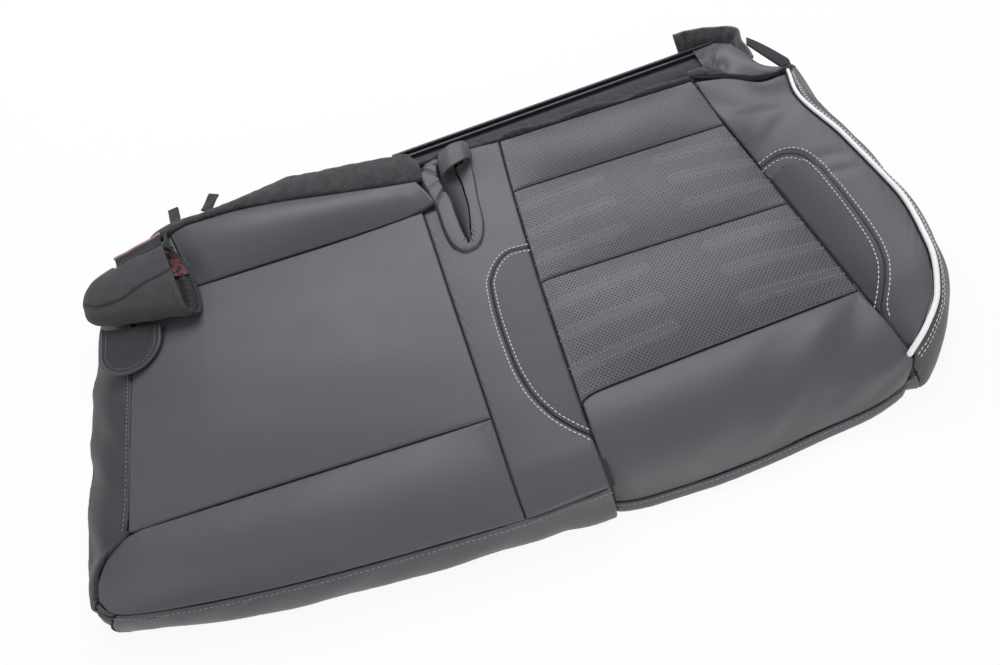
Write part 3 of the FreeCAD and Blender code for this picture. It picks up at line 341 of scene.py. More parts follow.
def put(name: str, data: bpy.types.ID) -> Piece:
    """Puts a new object with this data in the scene."""
    piece = bpy.data.objects.new(name, data)
    bpy.context.scene.collection.objects.link(piece)
    return piece


@dataclass
class Mesh:
    """Corners, faces and lengths along the cloth, gathered before they become a piece."""

    corners: list[Array] = field(default_factory=list)
    faces: list[Array] = field(default_factory=list)
    lengths: list[Array] = field(default_factory=list)
    finishes: list[Array] = field(default_factory=list)
    count: int = 0

    def add_grid(self, points: Array, flip: bool, finish: int = 0, wrap: bool = False,
                 keep: Optional[Array] = None) -> int:
        """Adds a grid of corners with its faces.

        Args:
            points: Rows and columns of points in millimetres.
            flip: Whether the faces look the other way.
            finish: The number of the finish that they take.
            wrap: Whether the last column joins the first.
            keep: Which faces are made.

        Returns:
            The number of its first corner.
        """
        rows, columns = points.shape[:2]
        start = self.count
        index = start + np.arange(rows * columns).reshape(rows, columns)
        right = np.roll(index, -1, axis=1) if wrap else index[:, 1:]
        left = index if wrap else index[:, :-1]
        quads = np.stack([left[:-1], left[1:], right[1:], right[:-1]], -1)
        quads = quads[keep] if keep is not None else quads.reshape(-1, 4)
        self.faces.append(quads[:, ::-1] if flip else quads)
        self.finishes.append(np.full(len(quads), finish))
        self.corners.append(points.reshape(-1, 3))
        across = np.pad(np.linalg.norm(np.diff(points, axis=0), axis=-1), ((1, 0), (0, 0))).cumsum(0)
        down = np.pad(np.linalg.norm(np.diff(points, axis=1), axis=-1), ((0, 0), (1, 0))).cumsum(1)
        self.lengths.append(np.stack([across, down], -1).reshape(-1, 2))
        self.count += rows * columns
        return start

    def add_faces(self, quads: Array, finish: int = 0) -> None:
        """Adds faces between corners that are there."""
        self.faces.append(np.asarray(quads))
        self.finishes.append(np.full(len(quads), finish))

    def build(self, name: str, finishes: Sequence["Finish"]) -> Piece:
        """Makes the piece, at the origin and in metres.

        Args:
            name: The piece's name.
            finishes: Its finishes, in the order of their numbers.

        Returns:
            The new object.
        """
        data = bpy.data.meshes.new(name)
        corners = np.concatenate(self.corners) * MM
        lengths = np.concatenate(self.lengths) * MM
        faces = [tuple(int(v) for v in f) for block in self.faces for f in block]
        data.from_pydata(corners.tolist(), [], faces)
        data.polygons.foreach_set("material_index", np.concatenate(self.finishes).astype(np.int32))
        data.polygons.foreach_set("use_smooth", np.ones(len(faces), bool))
        corner_of = np.empty(len(data.loops), np.int32)
        data.loops.foreach_get("vertex_index", corner_of)
        layer = data.uv_layers.new(name="Cloth")
        layer.data.foreach_set("uv", lengths[corner_of].astype(np.float32).ravel())
        for finish in finishes:
            data.materials.append(finish.material())
        data.update()
        return put(name, data)


def shell(name: str, outer: Array, inner: Array, finishes: Sequence["Finish"], facing: Side,
          wrap: bool = False, keep: Optional[Array] = None) -> Piece:
    """A closed piece of cloth between an outer and an inner surface.

    Args:
        name: The piece's name.
        outer: The outer surface's grid.
        inner: The inner surface's grid, of the same shape.
        finishes: The face's finish, and the back's where it has another.
        facing: Which way the outer face looks.
        wrap: Whether the columns run round a tube.
        keep: Which of the grid's faces are made, as where a hole is cut.

    Returns:
        The new object.
    """
    rows, columns = outer.shape[:2]
    whole = np.ones((rows - 1, columns if wrap else columns - 1), bool)
    keep = whole if keep is None else keep
    normals = Sheet(outer, Side.OWN).normals
    way = (outer - inner) if facing is Side.OWN else np.array(facing.value, float)
    flip = float((normals * way).sum(-1).mean()) < 0
    back = 1 if len(finishes) > 1 else 0
    mesh = Mesh()
    top = mesh.add_grid(outer, flip, 0, wrap, keep)
    under = mesh.add_grid(inner, not flip, back, wrap, keep)
    made = np.pad(keep, ((1, 1), (0, 0) if wrap else (1, 1)))
    rims = []
    steps = ((-1, 0, (0, 0), (0, 1)), (1, 0, (1, 1), (1, 0)), (0, -1, (1, 0), (0, 0)), (0, 1, (0, 1), (1, 1)))
    for i, j in zip(*np.nonzero(keep)):
        for di, dj, first, second in steps:
            if wrap and dj:
                continue
            if made[i + 1 + di, j + (0 if wrap else 1) + dj]:
                continue
            a = (i + first[0]) * columns + (j + first[1]) % columns
            b = (i + second[0]) * columns + (j + second[1]) % columns
            quad = (top + a, top + b, under + b, under + a)
            rims.append(quad[::-1] if flip else quad)
    mesh.add_faces(np.array(rims, int).reshape(-1, 4), 0)
    return mesh.build(name, finishes)


def tube(name: str, path: Array, radius: float | Array, finish: "Finish", sides: int = 12,
         flat: float = 1) -> Piece:
    """A round piece along a path, closed at its ends.

    Args:
        name: The piece's name.
        path: The points that its middle follows.
        radius: Its radius, at each point where it varies.
        finish: Its finish.
        sides: How many faces go round it.
        flat: Its height as a share of its width.
    """
    run = unit(np.gradient(path, axis=0))
    across = unit(np.cross(run, np.array([0, 0, 1.0])))
    rise = np.cross(across, run)
    angle = np.linspace(0, 2 * math.pi, sides, endpoint=False)
    size = np.broadcast_to(np.asarray(radius, float), len(path))
    ring = (np.cos(angle)[None, :, None] * across[:, None]
            + flat * np.sin(angle)[None, :, None] * rise[:, None]) * size[:, None, None]
    points = path[:, None] + ring
    ends = [path[:1, None] + ring[:1] * k - run[:1, None] * size[0] * (1 - k ** 2) ** 0.5 * 0.8
            for k in (0.02, 0.6)]
    tails = [path[-1:, None] + ring[-1:] * k + run[-1:, None] * size[-1] * (1 - k ** 2) ** 0.5 * 0.8
             for k in (0.6, 0.02)]
    points = np.concatenate(ends + [points] + tails)
    mesh = Mesh()
    first = mesh.add_grid(points, False, 0, True)
    last = first + (points.shape[0] - 1) * sides
    mesh.add_faces(np.array([[first + k, first, first + k + 2, first + k + 1]
                             for k in range(1, sides - 2)]).reshape(-1, 4), 0)
    mesh.add_faces(np.array([[last + k, last + k + 1, last + k + 2, last]
                             for k in range(1, sides - 2)]).reshape(-1, 4), 0)
    piece = mesh.build(name, [finish])
    clean(piece)
    return piece


def clean(piece: Piece) -> None:
    """Merges doubled corners and turns every face outwards."""
    work = bmesh.new()
    work.from_mesh(piece.data)
    bmesh.ops.remove_doubles(work, verts=work.verts, dist=1e-6)
    bmesh.ops.dissolve_degenerate(work, edges=work.edges, dist=1e-7)
    bmesh.ops.recalc_face_normals(work, faces=work.faces)
    work.to_mesh(piece.data)
    work.free()


# Finishes


def linear(colour: str) -> tuple[float, float, float, float]:
    """An sRGB hex colour as the linear numbers that a shader takes."""
    parts = [int(colour[i:i + 2], 16) / 255 for i in (1, 3, 5)]
    return (*[c / 12.92 if c <= 0.04045 else ((c + 0.055) / 1.055) ** 2.4 for c in parts], 1.0)


def add_node(tree: Tree, kind: str, inputs: Optional[dict] = None, **settings) -> Node:
    """Adds a node with its settings, values and links.

    Args:
        tree: The tree that it goes in.
        kind: Its type's name.
        inputs: A value, or another node's output, for each input by name or number.
        **settings: Its properties.

    Returns:
        The new node.
    """
    node = tree.nodes.new(kind)
    for key, value in settings.items():
        setattr(node, key, value)
    for key, value in (inputs or {}).items():
        if isinstance(value, Socket):
            tree.links.new(value, node.inputs[key])
        else:
            node.inputs[key].default_value = value
    return node


def bare_tree(owner: bpy.types.Material | bpy.types.World) -> Tree:
    """A material's or a world's node tree, emptied."""
    owner.use_nodes = True
    owner.node_tree.nodes.clear()
    return owner.node_tree


def own_place(tree: Tree) -> Socket:
    """Places in the piece's own frame, by which a pattern is laid."""
    return add_node(tree, "ShaderNodeTexCoord").outputs["Object"]


def noise(tree: Tree, place: Socket, scale: float, detail: float) -> Node:
    """A noise texture at a place, with so many blots in a metre."""
    return add_node(tree, "ShaderNodeTexNoise", {"Vector": place, "Scale": scale, "Detail": detail})


@dataclass(frozen=True)
class Finish:
    """A material: its name, its colours and how its surface was made."""

    name: str
    colour: str
    slot: str
    roughness: float = 0.5

    def material(self) -> bpy.types.Material:
        """The material, made the first time that it is asked for."""
        found = bpy.data.materials.get(self.name)
        if found is not None:
            return found
        made = bpy.data.materials.new(self.name)
        tree = bare_tree(made)
        shader = add_node(tree, "ShaderNodeBsdfPrincipled",
                          {"Roughness": self.roughness, "Base Color": linear(self.colour)})
        add_node(tree, "ShaderNodeOutputMaterial", {"Surface": shader.outputs[0]})
        self.dress(tree, shader)
        return made

    def dress(self, tree: Tree, shader: Node) -> None:
        """Adds the surface's own detail to the shader."""

    def relief(self, tree: Tree, shader: Node, strength: float, depth: float, height: Socket) -> None:
        """Raises the surface's pattern by a depth in metres."""
        raised = add_node(tree, "ShaderNodeBump", {"Strength": strength, "Distance": depth, "Height": height})
        tree.links.new(raised.outputs[0], shader.inputs["Normal"])

    def mottle(self, tree: Tree, shader: Node, size: float, spread: float, place: Socket) -> None:
        """Lets the colour drift by a share of itself over patches of a size in metres."""
        drift = noise(tree, place, 1 / size, 3.0)
        base = linear(self.colour)
        ramp = add_node(tree, "ShaderNodeMapRange",
                        {"Value": drift.outputs[0], "From Min": 0.3, "From Max": 0.7,
                                                    "To Min": 1 - spread, "To Max": 1 + spread})
        tint = add_node(tree, "ShaderNodeVectorMath", {0: base[:3], "Scale": ramp.outputs[0]},
                        operation="SCALE")
        tree.links.new(tint.outputs[0], shader.inputs["Base Color"])


@dataclass(frozen=True)
class Leatherette(Finish):
    """Polyurethane-coated fabric, roller embossed: a fine pebble grain under a satin lacquer."""

    grain: float = 0.0011
    emboss: float = 0.12

    def dress(self, tree: Tree, shader: Node) -> None:
        """Pebbles about a millimetre across, drawn a little coarser than the real 0.7 mm to show."""
        place = own_place(tree)
        self.mottle(tree, shader, 0.09, 0.035, place)
        pebble = add_node(tree, "ShaderNodeTexVoronoi", {"Vector": place, "Scale": 1 / self.grain},
                          feature="SMOOTH_F1")
        crease = noise(tree, place, 420.0, 4.0)
        height = add_node(tree, "ShaderNodeMath", {0: pebble.outputs[0], 1: crease.outputs[0]},
                          operation="ADD")
        self.relief(tree, shader, self.emboss, 0.0004, height.outputs[0])
        wear = noise(tree, place, 26.0, 2.0)
        gloss = add_node(tree, "ShaderNodeMapRange",
                         {"Value": wear.outputs[0], "To Min": self.roughness - 0.05,
                                                     "To Max": self.roughness + 0.05})
        tree.links.new(gloss.outputs[0], shader.inputs["Roughness"])


@dataclass(frozen=True)
class Felt(Finish):
    """Needle-punched polyester felt: matt fibres that lie every way, a few of them paler."""

    def dress(self, tree: Tree, shader: Node) -> None:
        """Fibre tangles of about 2 mm with pale threads across them."""
        place = own_place(tree)
        tangle = add_node(tree, "ShaderNodeTexNoise", {"Vector": place, "Scale": 700.0, "Detail": 6.0,
                                                      "Distortion": 1.6})
        patches = noise(tree, place, 90.0, 3.0)
        both = add_node(tree, "ShaderNodeMath", {0: tangle.outputs[0], 1: patches.outputs[0]},
                        operation="MULTIPLY")
        base = linear(self.colour)
        ramp = add_node(tree, "ShaderNodeValToRGB", {"Fac": both.outputs[0]})
        ramp.color_ramp.elements[0].position = 0.14
        ramp.color_ramp.elements[0].color = (*[c * 0.45 for c in base[:3]], 1)
        ramp.color_ramp.elements[1].position = 0.46
        ramp.color_ramp.elements[1].color = (*[min(1, c * 2.6) for c in base[:3]], 1)
        tree.links.new(ramp.outputs[0], shader.inputs["Base Color"])
        self.relief(tree, shader, 0.7, 0.0012, tangle.outputs[0])
        shader.inputs["Sheen Weight"].default_value = 0.25
        shader.inputs["Sheen Roughness"].default_value = 0.6


@dataclass(frozen=True)
class Twill(Finish):
    """Polyester twill, woven: diagonal ribs of spun yarn."""

    pitch: float = 0.0011

    def dress(self, tree: Tree, shader: Node) -> None:
        """Ribs at 45 degrees, 1.1 mm apart where the real ones are about 0.6 mm, so that they show."""
        own = add_node(tree, "ShaderNodeTexCoord")
        rib = add_node(tree, "ShaderNodeTexWave", {"Vector": own.outputs["UV"], "Scale": 0.22 / self.pitch,
                                                  "Distortion": 0.8, "Detail": 2.0},
                                                  bands_direction="DIAGONAL")
        self.mottle(tree, shader, 0.03, 0.10, own.outputs["Object"])
        self.relief(tree, shader, 0.35, 0.0004, rib.outputs[0])
        shader.inputs["Sheen Weight"].default_value = 0.08


@dataclass(frozen=True)
class Scrim(Finish):
    """Warp-knitted scrim on the foam backing: a pale fuzzy knit that shows where the cover turns over."""

    def dress(self, tree: Tree, shader: Node) -> None:
        """Knit loops about 1.4 mm apart with pinkish foam behind them."""
        place = own_place(tree)
        self.mottle(tree, shader, 0.012, 0.22, place)
        loops = add_node(tree, "ShaderNodeTexVoronoi", {"Vector": place, "Scale": 1 / 0.0014})
        self.relief(tree, shader, 0.5, 0.0006, loops.outputs[0])


@dataclass(frozen=True)
class Thread(Finish):
    """Bonded polyester thread, twisted from three plies: its strands catch the light in turn."""

    def dress(self, tree: Tree, shader: Node) -> None:
        """Plies about half a millimetre apart."""
        place = own_place(tree)
        self.mottle(tree, shader, 0.0016, 0.16, place)
        ply = add_node(tree, "ShaderNodeTexNoise", {"Vector": place, "Scale": 1900.0})
        self.relief(tree, shader, 0.3, 0.0002, ply.outputs[0])


@dataclass(frozen=True)
class Polypropylene(Finish):
    """Extruded polypropylene: satin, with faint lines drawn along it by the die."""

    def dress(self, tree: Tree, shader: Node) -> None:
        """Die lines about 0.8 mm apart, stretched a hundred times along X."""
        place = own_place(tree)
        drawn = add_node(tree, "ShaderNodeMapping", {"Vector": place, "Scale": (0.01, 1.0, 1.0)})
        lines = noise(tree, drawn.outputs[0], 1250.0, 2.0)
        self.mottle(tree, shader, 0.05, 0.08, place)
        self.relief(tree, shader, 0.15, 0.0002, lines.outputs[0])


@dataclass(frozen=True)
class SpringSteel(Finish):
    """Hard-drawn steel wire: bright metal with fine draw marks and a thin film of oil."""

    def dress(self, tree: Tree, shader: Node) -> None:
        """Draw marks finer than a millimetre."""
        place = own_place(tree)
        shader.inputs["Metallic"].default_value = 1.0
        self.mottle(tree, shader, 0.02, 0.08, place)


LEATHERETTE = Leatherette("Embossed polyurethane leatherette, graphite", "#515154", "leatherette", 0.47)
PERFORATED = Leatherette("Perforated polyurethane leatherette, graphite", "#545457", "perforated_leatherette",
                         0.45)
# Painted shade: a darker copy of the graphite leatherette, used on the walls, the welt, the bolster patch,
# the gusset's fold and the flap's binding.
SHADED_LEATHERETTE = Leatherette("Embossed vinyl leatherette, graphite, painted shade", "#424245", "leatherette", 0.5)
PATCH_LEATHERETTE = Leatherette("Embossed vinyl leatherette, patch", "#444447", "leatherette", 0.5)
# Painted shade: the inner side panel's leatherette is coloured darker than the top panels because that side
# gets little light.
SHADED_SIDE_LEATHERETTE = Leatherette("Embossed vinyl leatherette, side panel, painted shade", "#39393c", "leatherette", 0.55)
POCKET_LEATHERETTE = Leatherette("Thin polyurethane leatherette, graphite", "#3f4043", "leatherette", 0.55)
PIPING = Leatherette("Vinyl piping, white", "#f6f6f3", "piping", 0.42, 0.0011, 0.05)
FELT = Felt("Needle-punched polyester felt, black", "#202022", "felt", 0.95)
FLAP_FELT = Felt("Needle-punched polyester felt, pressed smooth", "#18191d", "felt", 0.8)
WORN_FELT = Felt("Needle-punched polyester felt, grey face", "#565658", "felt", 0.95)
TWILL = Twill("Polyester twill, black", "#2d2e30", "twill", 0.85)
PALE_TWILL = Twill("Polyester twill, faded face", "#393a3b", "twill", 0.82)
LINING = Scrim("Warp-knitted scrim on pink foam", "#a98683", "lining", 0.9)
BACKING = Scrim("Warp-knitted scrim on grey foam", "#8d8784", "leatherette", 0.92)
LISTING = Scrim("Nonwoven listing tape, off-white", "#bdb9b0", "listing_cloth", 0.9)
RAIL = Polypropylene("Extruded polypropylene, black", "#3a3b41", "retainer_plastic", 0.5)
WIRE = SpringSteel("Hard-drawn spring steel wire", "#8f8f92", "spring_wire", 0.35)
POCKET_CLOTH = Twill("Polyester twill, pocket lining", "#2c2d30", "twill", 0.85)
# Dark twill lining, coloured darker still as painted shade deep in the sleeve's mouth.
SHADED_SLEEVE_LINING = Twill("Polyester twill, sleeve lining, painted shade", "#262628", "lining", 0.8)
# Painted shade: the pink scrim again, darker, for where it lies in the shade inside the sleeve's mouth.
SHADED_SCRIM = Scrim("Warp-knitted scrim, painted shade in the mouth", "#74494b", "lining", 0.9)
WHITE_THREAD = Thread("Bonded polyester thread, white", "#dcdcd8", "leatherette", 0.7)
RED_THREAD = Thread("Bonded polyester thread, pale red", "#b99192", "perforated_leatherette", 0.75)
# Painted shade: the red loop thread again, coloured dark where it dips into its needle holes between the pale
# dashes.
SHADED_RED_THREAD = Thread("Bonded polyester thread, red, painted shade", "#6a484b", "perforated_leatherette",
                     0.8)
GREY_THREAD = Thread("Bonded polyester thread, grey", "#8b8c90", "leatherette", 0.7)
HOLE = Finish("Punched hole, unlit foam behind it", "#17171b", "perforated_leatherette", 0.9)


# Geometry Nodes for what repeats


@dataclass(frozen=True)
class Repeat:
    """A Geometry Nodes tree that lays one small form over points, a path or a face."""

    name: str
    finish: Finish

    def tree(self) -> Tree:
        """The tree, made the first time that it is asked for."""
        found = bpy.data.node_groups.get(self.name)
        if found is not None:
            return found
        made = bpy.data.node_groups.new(self.name, "GeometryNodeTree")
        made.interface.new_socket("Geometry", in_out="INPUT", socket_type="NodeSocketGeometry")
        made.interface.new_socket("Geometry", in_out="OUTPUT", socket_type="NodeSocketGeometry")
        for name, kind in self.inputs().items():
            made.interface.new_socket(name, in_out="INPUT", socket_type=kind)
        given = add_node(made, "NodeGroupInput")
        placed = self.lay(made, given)
        real = add_node(made, "GeometryNodeRealizeInstances", {0: placed})
        dressed = add_node(made, "GeometryNodeSetMaterial", {0: real.outputs[0],
                                                             "Material": self.finish.material()})
        add_node(made, "NodeGroupOutput", {0: dressed.outputs[0]})
        return made

    def inputs(self) -> dict[str, str]:
        """The names and kinds of the tree's inputs."""
        raise NotImplementedError(self.name)

    def lay(self, tree: Tree, given: Node) -> Socket:
        """Lays the form, and gives the instances."""
        raise NotImplementedError(self.name)

    def outward(self, tree: Tree) -> Socket:
        """The direction that the surface looks in, kept on the points as Out."""
        return add_node(tree, "GeometryNodeInputNamedAttribute", {"Name": "Out"},
                        data_type="FLOAT_VECTOR").outputs[0]

    def grow(self, name: str, seedling: Piece, values: dict[str, float | int]) -> Piece:
        """Runs the tree on an object and keeps the result as one plain mesh.

        Args:
            name: The new piece's name.
            seedling: What it grows on, which is removed afterwards.
            values: The tree's inputs by name.

        Returns:
            The new piece.
        """
        modifier = seedling.modifiers.new("Grow", "NODES")
        modifier.node_group = self.tree()
        for item in modifier.node_group.interface.items_tree:
            if item.item_type == "SOCKET" and item.in_out == "INPUT" and item.name in values:
                modifier[item.identifier] = values[item.name]
        bpy.context.view_layer.update()
        seen = seedling.evaluated_get(bpy.context.evaluated_depsgraph_get())
        data = bpy.data.meshes.new_from_object(seen)
        data.name = name
        data.polygons.foreach_set("use_smooth", np.ones(len(data.polygons), bool))
        piece = put(name, data)
        bpy.data.objects.remove(seedling)
        return piece


@dataclass(frozen=True)
class Stitches(Repeat):
    """Lockstitches: one short thread for each pitch of the machine, its ends sunk in the cloth."""

    def inputs(self) -> dict[str, str]:
        """Sizes in metres."""
        return {"Pitch": "NodeSocketFloat", "Length": "NodeSocketFloat", "Width": "NodeSocketFloat"}

    def lay(self, tree: Tree, given: Node) -> Socket:
        """Resamples each path by the pitch and lays a stitch along it, flat on the cloth."""
        path = add_node(tree, "GeometryNodeMeshToCurve", {0: given.outputs[0]})
        spots = add_node(tree, "GeometryNodeResampleCurve",
                         {0: path.outputs[0], "Length": given.outputs["Pitch"]}, mode="LENGTH")
        ball = add_node(tree, "GeometryNodeMeshUVSphere", {"Segments": 6, "Rings": 5, "Radius": 0.5})
        laid = add_node(tree, "GeometryNodeTransform", {0: ball.outputs[0], "Rotation": (0, math.pi / 2, 0)})
        size = add_node(tree, "ShaderNodeCombineXYZ", {0: given.outputs["Length"], 1: given.outputs["Width"],
                                                       2: given.outputs["Width"]})
        thread = add_node(tree, "GeometryNodeTransform", {0: laid.outputs[0], "Scale": size.outputs[0]})
        run = add_node(tree, "GeometryNodeInputTangent")
        turned = add_node(tree, "FunctionNodeAlignRotationToVector", {"Vector": run.outputs[0]}, axis="X")
        flat = add_node(tree, "FunctionNodeAlignRotationToVector",
                        {"Rotation": turned.outputs[0], "Vector": self.outward(tree)}, axis="Z",
                        pivot_axis="X")
        return add_node(tree, "GeometryNodeInstanceOnPoints",
                        {"Points": spots.outputs[0], "Instance": thread.outputs[0],
                         "Rotation": flat.outputs[0]}).outputs[0]


@dataclass(frozen=True)
class Perforations(Repeat):
    """Holes punched by a pin die: a dark round for each pin, level with the cloth."""

    def inputs(self) -> dict[str, str]:
        """Sizes in metres."""
        return {"Radius": "NodeSocketFloat", "Depth": "NodeSocketFloat"}

    def lay(self, tree: Tree, given: Node) -> Socket:
        """Sets a six-sided plug on each point, square to the cloth."""
        plug = add_node(tree, "GeometryNodeMeshCylinder",
                        {"Vertices": 6, "Radius": given.outputs["Radius"], "Depth": given.outputs["Depth"]},
                        fill_type="NGON")
        square = add_node(tree, "FunctionNodeAlignRotationToVector", {"Vector": self.outward(tree)}, axis="Z")
        return add_node(tree, "GeometryNodeInstanceOnPoints",
                        {"Points": given.outputs[0], "Instance": plug.outputs["Mesh"],
                         "Rotation": square.outputs[0]}).outputs[0]


@dataclass(frozen=True)
class Fibres(Repeat):
    """Loose fibres teased out of the felt by the needles, bent and lying every way."""

    seed: int = 7

    def inputs(self) -> dict[str, str]:
        """Sizes in metres, and fibres for each square metre."""
        return {"Density": "NodeSocketFloat", "Length": "NodeSocketFloat", "Width": "NodeSocketFloat"}

    def lay(self, tree: Tree, given: Node) -> Socket:
        """Scatters three-sided fibres over the faces, each turned and sized by itself."""
        spots = add_node(tree, "GeometryNodeDistributePointsOnFaces",
                         {0: given.outputs[0], "Density": given.outputs["Density"], "Seed": self.seed})
        rod = add_node(tree, "GeometryNodeMeshCylinder",
                       {"Vertices": 3, "Side Segments": 1, "Radius": given.outputs["Width"],
                        "Depth": given.outputs["Length"]}, fill_type="NGON")
        tilt = add_node(tree, "FunctionNodeRandomValue", {0: (1.15, 0.0, 0.0), 1: (1.75, 0.0, 6.28),
                                                          "Seed": self.seed + 1}, data_type="FLOAT_VECTOR")
        share = add_node(tree, "FunctionNodeRandomValue", {2: 0.35, 3: 1.4, "Seed": self.seed + 2})
        turned = add_node(tree, "FunctionNodeRotateRotation",
                          {0: spots.outputs["Rotation"], 1: tilt.outputs[0]}, rotation_space="LOCAL")
        return add_node(tree, "GeometryNodeInstanceOnPoints",
                        {"Points": spots.outputs[0], "Instance": rod.outputs["Mesh"],
                         "Rotation": turned.outputs[0], "Scale": share.outputs[1]}).outputs[0]


@dataclass
class Marks:
    """Points on the cloth with the way that it looks there, single or joined into paths."""

    points: list[Array] = field(default_factory=list)
    out: list[Array] = field(default_factory=list)
    joined: bool = True

    def add(self, points: Array, out: Array) -> None:
        """Adds a path, or loose points."""
        self.points.append(points)
        self.out.append(out)

    def seedling(self) -> Piece:
        """An object with these points, which a tree grows on."""
        data = bpy.data.meshes.new("seedling")
        edges, start = [], 0
        for path in self.points:
            if self.joined:
                edges += [(start + k, start + k + 1) for k in range(len(path) - 1)]
            start += len(path)
        data.from_pydata((np.concatenate(self.points) * MM).tolist(), edges, [])
        layer = data.attributes.new("Out", "FLOAT_VECTOR", "POINT")
        layer.data.foreach_set("vector", np.concatenate(self.out).astype(np.float32).ravel())
        return put("seedling", data)


WHITE_STITCHES = Stitches("White topstitches", WHITE_THREAD)
RED_STITCHES = Stitches("Red loop stitches", RED_THREAD)
SHADED_RED_STITCHES = Stitches("Red thread in painted shade", SHADED_RED_THREAD)
DARK_STITCHES = Stitches("Dark hem stitches", TWILL)
GREY_STITCHES = Stitches("Grey topstitches", GREY_THREAD)
PUNCHED_HOLES = Perforations("Pin die", HOLE)
FELT_FIBRES = Fibres("Loose felt fibres", Finish("Polyester fibre, grey", "#77777a", "felt", 0.9))


# Handing pieces over


class Hold(Enum):
    """How a cut of cloth is held."""

    STRETCHED = "stretched"
    LAID = "laid"
    HUNG = "hung"
    FOLDED = "folded"
    GATHERED = "gathered"


def hand_over(piece: Piece, nodes: Sequence[str] = (), body: str = "root") -> None:
    """Puts a piece on its body, in place of the solids that it stands for."""
    if nodes:
        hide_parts(*nodes)
    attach(piece, body)
    LOG.info("%s: %d faces, on %s", piece.name, len(piece.data.polygons), body)


def single_layer(name: str, outer: Array, inner: Array, finish: Finish, nodes: Sequence[str] = (),
                 body: str = "root", facing: Side = Side.UP) -> None:
    """Makes a piece that is one layer of one cloth, and hands it over.

    Args:
        name: The piece's name.
        outer: The outer surface's grid.
        inner: The inner surface's grid.
        finish: Its finish.
        nodes: The solids that it stands for.
        body: The body that it rides on.
        facing: Which way the outer face looks.
    """
    piece = shell(name, outer, inner, (finish,), facing)
    if facing is Side.OWN:
        clean(piece)
    hand_over(piece, nodes, body)


def cord(name: str, path: Array, radius: float | Array, finish: Finish, sides: int = 12, flat: float = 1,
         nodes: Sequence[str] = (), body: str = "root") -> None:
    """Makes a round piece along a path, as a tube, and hands it over."""
    hand_over(tube(name, path, radius, finish, sides, flat), nodes, body)


def sew(kind: Repeat, name: str, marks: Marks, slot: str, body: str = "root", **sizes: float) -> None:
    """Grows threads or holes on marks, with sizes in millimetres, and hands them over."""
    inputs = {key.title(): size * MM for key, size in sizes.items()}
    hand_over(kind.grow(name, marks.seedling(), inputs), (), body)


@dataclass
class Cut:
    """One cut of cloth: its name, the solids that it stands for, its finish and its make."""

    name: str
    nodes: tuple[str, ...]
    finish: Finish
    thickness: float
    hold: Hold = Hold.STRETCHED
    seams: Seams = field(default_factory=Seams)
    wrinkle: float = 0.5
    spread: float = 80
    pucker: float = 0.3
    seed: int = 1
    body: str = "root"
    backing: Finish = BACKING

    def make(self, cloth: Sheet, inner: Optional[Array] = None, keep: Optional[Array] = None) -> Sheet:
        """Sews the cut in, gives it its thickness and hands it over.

        Args:
            cloth: The surface that it follows before its edges are rolled in.
            inner: Its inner surface, where it isn't the outer one moved in.
            keep: Which faces are made.

        Returns:
            Its outer surface as sewn.
        """
        distances = cloth.edge_distances()
        free = held(np.minimum.reduce(distances) / WRINKLE_START)
        soft = cloth.moved(self.wrinkle * free * folds(cloth.points, self.spread, self.seed))
        outer = soft.sewn(self.seams, self.pucker, self.seed)
        if inner is None:
            if cloth.facing is Side.UP:
                inner = soft.points - UP * self.thickness
            else:
                inner = soft.moved(-self.thickness).points
            inner[..., 2] = np.maximum(inner[..., 2], LOWEST)
        outer.points[..., 2] = np.maximum(outer.points[..., 2], LOWEST)
        piece = shell(self.name, outer.points, inner, (self.finish, self.backing), cloth.facing, keep=keep)
        hand_over(piece, self.nodes, self.body)
        return outer


# The seam plan


